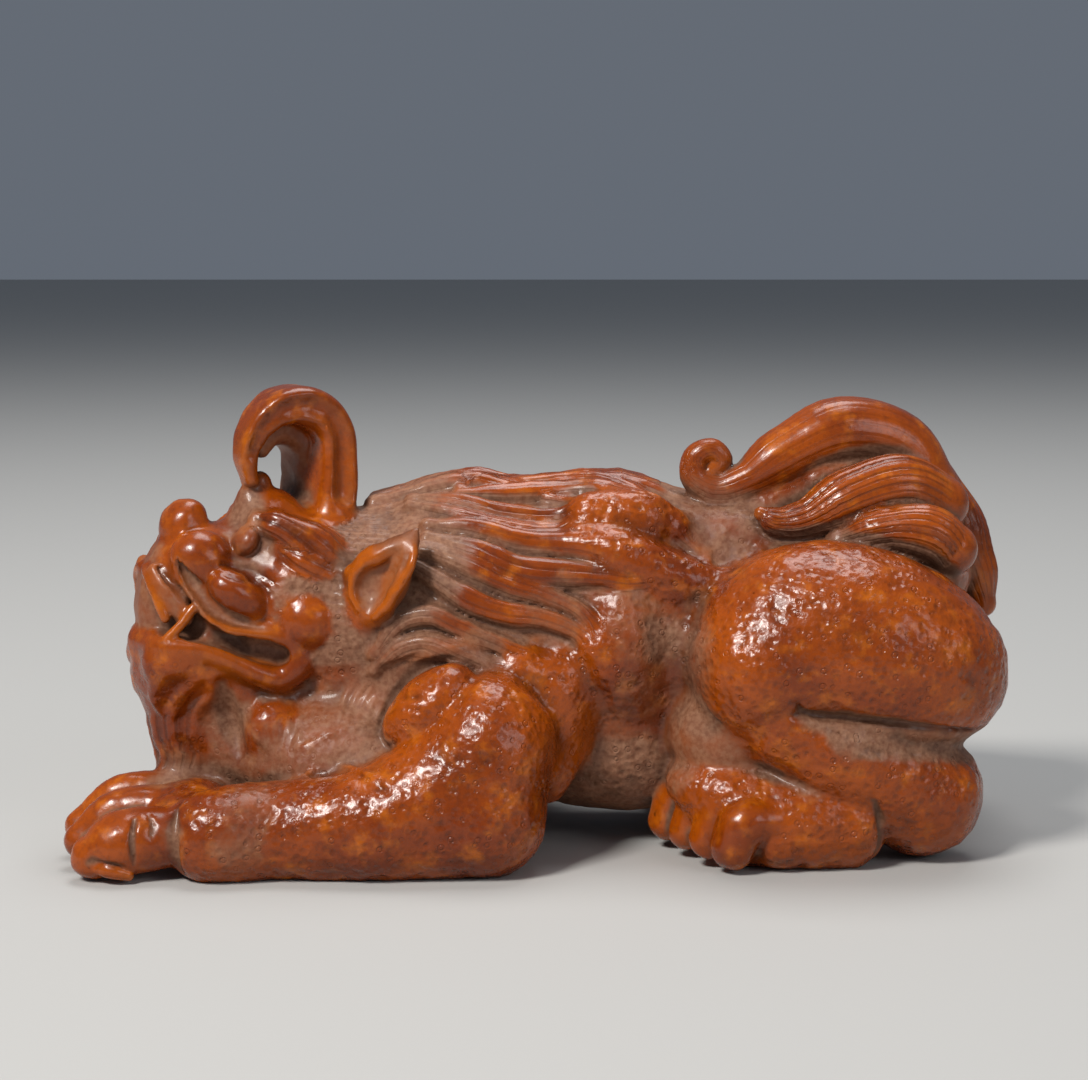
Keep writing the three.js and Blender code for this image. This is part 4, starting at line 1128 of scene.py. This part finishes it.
def dust_on(points, owner, shut):
    """How thick dust lies, from 0 to 1."""
    x, z = points[:, 0], points[:, 2]
    # the bare trunk between the locks and under the belly, and the roots and valleys of the mane
    between = (x < 1) & (z > 20) | (x < 14) & (z > 27.5)
    bare = 0.46 + 0.32 * np.maximum(between, z < 12)
    roots = np.maximum(0.65 * (1 - ramp(x, -13, -3)), 0.9 * ramp(shut, 0.14, 0.42))
    layers = [
        ramp(shut, 0.3, 0.75),
        bare * belongs(owner, "trunk"),
        roots * belongs(owner, "mane"),
        # the front edge of the haunch, the strip under its line and the back of the upper arm
        0.75 * (1 - ramp(x, 14.5, 19)) * belongs(owner, "thigh"),
        0.85 * under_haunch(points) * belongs(owner, "thigh", "shank", "crease"),
        0.42 * ramp(x, -2, 3) * belongs(owner, "shoulder", "arm"),
        settled(points) * (0.72 + 0.28 * ramp(shut, 0.05, 0.3)),
        *(thick * belongs(owner, *parts) for thick, parts in DUST_ON),
    ]
    dust = np.max(layers, axis=0)
    dust[belongs(owner, "lip", "cheek", "nose", "tusk", "ridge", "earrim")] *= 0.4
    dust[belongs(owner, "eye")] = 0.5
    return np.maximum(dust, 0.08)


def paint_values(block, mesh):
    """Stores what the material needs to know about each point, evened out in some rounds."""
    points = np.empty(3 * len(mesh.vertices))
    mesh.vertices.foreach_get("co", points)
    points = LAYOUT_LOW + (points.reshape(-1, 3) - NODE_LOW) / SCALE
    where = block, points, block.slope(points)
    owner = owners(points)
    depth, turns, hair = comb(points)
    shut = hollowness(*where)
    thin_coat = belongs(owner, "rump", "jaw", "jawhair", "throat")
    told = [
        ("dust", dust_on(points, owner, shut), 3),
        ("turns", turns, 0),
        ("hair", hair, 0),
        ("coat", belongs(owner, *COAT, "fringe") + 0.5 * thin_coat, 4),
        # how shut in each point is and how deep in a narrow crevice, which the material turns into
        # painted shade
        ("shut", shut, 0),
        ("crevice", crevices(*where), 1),
        # ridges and raised edges, which the material paints lighter, partly as wear and partly as
        # painted highlight
        ("worn_and_lit", worn_and_lit_edges(*where), 2),
    ]
    for name, values, rounds in told:
        attribute = mesh.attributes.new(name, "FLOAT", "POINT")
        attribute.data.foreach_set("value", soften(mesh, values, rounds).astype(np.float32))


def build_figure():
    carve_figure()
    block = Block(GRID_LOW, GRID_HIGH)
    for part, shape, soft, cutting in forms:
        block.work(shape, soft, cutting)
    block.stand()
    points, faces = skin_of(block)
    points = carve_detail(settle(block, points), faces)
    mesh = bpy.data.meshes.new("pixiu")
    points = NODE_LOW + (points - LAYOUT_LOW) * SCALE
    mesh.from_pydata(points, [], faces.tolist(), shade_flat=False)
    mesh.validate()
    piece = bpy.data.objects.new("pixiu", mesh)
    bpy.context.scene.collection.objects.link(piece)
    thin_out(piece)
    paint_values(block, piece.data)
    return piece


# Materials


class Nodes:
    """Shorthand for building a node material."""

    def __init__(self, name):
        self.material = bpy.data.materials.new(name)
        self.material.use_nodes = True
        self.tree = self.material.node_tree
        self.tree.nodes.clear()

    def add(self, kind, *values, **settings):
        """A node; values go to its first sockets, settings to sockets or fields of their name."""
        node = self.tree.nodes.new(kind)
        for socket, value in zip(node.inputs, values):
            self.feed(socket, value)
        for key, value in settings.items():
            if key in node.inputs:
                self.feed(node.inputs[key], value)
            else:
                setattr(node, key, value)
        return node

    def feed(self, socket, value):
        if isinstance(value, bpy.types.NodeSocket):
            self.tree.links.new(value, socket)
        else:
            socket.default_value = value

    def value(self, name):
        return self.add("ShaderNodeAttribute", attribute_name=name).outputs["Fac"]

    def math(self, operation, a, b=0.0, clamp=False):
        return self.add("ShaderNodeMath", a, b, operation=operation, use_clamp=clamp).outputs[0]

    def times(self, a, b):
        return self.math("MULTIPLY", a, b)

    def plus(self, a, b):
        return self.math("ADD", a, b)

    def mix(self, factor, a, b):
        node = self.add("ShaderNodeMix", factor, data_type="RGBA")
        self.feed(node.inputs[6], a)
        self.feed(node.inputs[7], b)
        return node.outputs[2]

    def ramp(self, *values):
        """A value taken smoothly from one range, low and high, to another, 0 and 1 if none is given."""
        return self.add("ShaderNodeMapRange", *values, interpolation_type="SMOOTHSTEP").outputs[0]

    def finish(self, shader):
        self.add("ShaderNodeOutputMaterial", Surface=shader.outputs["BSDF"])
        return self.material


def srgb(r, g, b):
    """A colour given as seen on a screen, from 0 to 255."""
    return [*((c / 255) ** 2.2 for c in (r, g, b)), 1.0]


POLISHED = srgb(154, 71, 12)
POLISHED_RED = srgb(118, 50, 12)
# golden tone of the wood, also used for the painted highlight on raised edges
GOLD_TONE_AND_HIGHLIGHT = srgb(186, 98, 20)
# dark of the wood's flecks and pits, also used as painted shade in recesses and crevices
DARK_WOOD_AND_SHADE = srgb(40, 17, 10)
DUST = srgb(142, 104, 80)
DUST_DARK = srgb(110, 74, 54)
FLOOR = srgb(176, 175, 172)


def wood_material():
    n = Nodes("boxwood")
    where = n.add("ShaderNodeTexCoord").outputs["Object"]

    def noise(scale, detail=4.0, roughness=0.55):
        node = n.add("ShaderNodeTexNoise", Vector=where, Scale=scale, Detail=detail, Roughness=roughness)
        return node.outputs["Fac"]

    broad = noise(90, 3.0)
    middle = noise(420)
    fine = noise(1900)
    leather = noise(1000, 3.0, 0.5)
    dust, coat, hair, worn_and_lit = (n.value(name) for name in ("dust", "coat", "hair", "worn_and_lit"))
    # dents, punched rings, a few to each patch of the coat, and the lines of the hair
    pits = n.add("ShaderNodeTexVoronoi", Vector=where, Scale=1050.0, feature="F1")
    dented = n.times(n.ramp(pits.outputs["Distance"], 0.05, 0.6, 1.0, 0.0), coat)
    rings = n.add("ShaderNodeTexVoronoi", Vector=where, Scale=850.0, feature="F1", Randomness=0.8)
    chance = n.add("ShaderNodeSeparateColor", rings.outputs["Color"]).outputs[0]
    chosen = n.math("GREATER_THAN", chance, 0.55)
    band = n.math("ABSOLUTE", n.plus(rings.outputs["Distance"], -0.24))
    ringed = n.times(n.ramp(band, 0.02, 0.1, 1.0, 0.0), n.times(chosen, coat))
    strands = n.math("SINE", n.times(n.value("turns"), 4 * math.pi))
    lines = n.times(n.ramp(strands, 0.2, 1.0), hair)
    # reddish to golden wood, darker in its pits; the relief is too fine for the mesh
    colour = n.mix(n.ramp(broad, 0.35, 0.65), POLISHED_RED, POLISHED)
    colour = n.mix(n.ramp(middle, 0.5, 0.75, 0.0, 0.7), colour, GOLD_TONE_AND_HIGHLIGHT)
    colour = n.mix(n.ramp(fine, 0.45, 0.75, 0.0, 0.3), colour, DARK_WOOD_AND_SHADE)
    height = n.plus(n.times(leather, n.plus(n.times(coat, 1.1), 0.4)), n.times(fine, 0.2))
    for mark, dark, deep in ((dented, 0.16, 1.0), (ringed, 0.05, 0.75), (lines, 0.35, 0.5)):
        colour = n.mix(n.times(mark, dark), colour, DARK_WOOD_AND_SHADE)
        height = n.plus(height, n.times(mark, -deep))
    # raised edges are painted lighter, partly as wear and partly as a painted highlight along their rims
    colour = n.mix(n.times(worn_and_lit, 0.4), colour, GOLD_TONE_AND_HIGHLIGHT)
    # painted shade: deep recesses and narrow crevices are painted dark, under the dust and on it, and
    # the dust lies thicker in patches
    shade = n.math("MAXIMUM", n.ramp(n.value("shut"), 0.35, 0.85), n.value("crevice"))
    colour = n.mix(n.times(shade, 0.6), colour, DARK_WOOD_AND_SHADE)
    grey = n.mix(n.ramp(fine, 0.3, 0.7), DUST_DARK, DUST)
    # painted shade on the dust in recesses and crevices
    grey = n.mix(n.times(shade, 0.4), grey, DARK_WOOD_AND_SHADE)
    patches = n.times(n.plus(middle, broad), 0.5)
    dusty = n.ramp(n.plus(dust, n.plus(patches, -0.5)), 0.25, 0.85, 0.0, 0.9)
    dusty = n.times(dusty, n.plus(n.times(worn_and_lit, -0.5), 1.0))
    colour = n.mix(dusty, colour, grey)
    shine = n.plus(n.times(fine, 0.14), 0.19)
    rough = n.math("ADD", shine, n.times(dusty, 0.45), clamp=True)
    bump = n.add("ShaderNodeBump", Height=height, Strength=0.65, Distance=0.00014)
    shader = n.add("ShaderNodeBsdfPrincipled", colour, Roughness=rough, Normal=bump.outputs["Normal"])
    shader.inputs["Specular IOR Level"].default_value = 0.35
    shader.inputs["Coat Weight"].default_value = 0.14
    shader.inputs["Coat Roughness"].default_value = 0.16
    return n.finish(shader)


# Floor, light and camera
FLOOR_HALF = 3.0
LAMPS_AIM = Vector((0, 0, 0.02))


def make_floor():
    mesh = bpy.data.meshes.new("floor")
    corners = [(x * FLOOR_HALF, y * FLOOR_HALF, 0) for x, y in ((-1, -1), (1, -1), (1, 1), (-1, 1))]
    mesh.from_pydata(corners, [], [(0, 1, 2, 3)])
    n = Nodes("floor")
    mesh.materials.append(n.finish(n.add("ShaderNodeBsdfPrincipled", FLOOR, Roughness=0.8)))
    floor = bpy.data.objects.new("floor", mesh)
    bpy.context.scene.collection.objects.link(floor)


def soft_box(name, place, size, power, colour=(1, 1, 1)):
    """A square lamp looking at the figure."""
    data = bpy.data.lights.new(name, "AREA")
    data.shape = "SQUARE"
    data.size = size
    data.energy = power
    data.color = colour
    lamp = bpy.data.objects.new(name, data)
    lamp.location = place
    lamp.rotation_euler = (LAMPS_AIM - lamp.location).to_track_quat("-Z", "Y").to_euler()
    bpy.context.scene.collection.objects.link(lamp)


def light_scene():
    soft_box("key", (-0.32, -0.42, 0.55), 0.16, 5.8, (1, 0.97, 0.93))
    soft_box("fill", (0.5, -0.5, 0.35), 0.3, 0.9, (0.95, 0.97, 1))
    soft_box("top", (0.05, 0.2, 0.7), 0.4, 3.0)
    world = bpy.data.worlds.new("studio")
    world.use_nodes = True
    background = world.node_tree.nodes["Background"]
    background.inputs["Color"].default_value = srgb(192, 204, 222)
    background.inputs["Strength"].default_value = 0.24
    bpy.context.scene.world = world
    bpy.context.scene.view_settings.view_transform = "Standard"


# The photograph's camera in the layout: place in millimetres, pitch, and focal length in pixels
CAMERA_AT = np.array([0, -266.0, 64.4])
CAMERA_PITCH = 7.07
FOCAL_PIXELS = 2500
PHOTO_WIDTH = 1088
SENSOR = 36.0


def make_camera():
    data = bpy.data.cameras.new("camera")
    data.sensor_fit = "HORIZONTAL"
    data.sensor_width = SENSOR
    data.lens = FOCAL_PIXELS / PHOTO_WIDTH * SENSOR
    data.clip_start = 0.01
    camera = bpy.data.objects.new("camera", data)
    even = (SCALE[0] + SCALE[2]) / 2
    across, away = (CAMERA_AT[:2] - (LAYOUT_LOW + LAYOUT_HIGH)[:2] / 2) * even
    camera.location = (across, away, CAMERA_AT[2] * even)
    camera.rotation_euler = (math.radians(90 - CAMERA_PITCH), 0, 0)
    bpy.context.scene.collection.objects.link(camera)
    bpy.context.scene.camera = camera


make_camera()
make_floor()
light_scene()
figure = build_figure()
figure.data.materials.append(wood_material())
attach(figure, "root")
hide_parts(NODE)
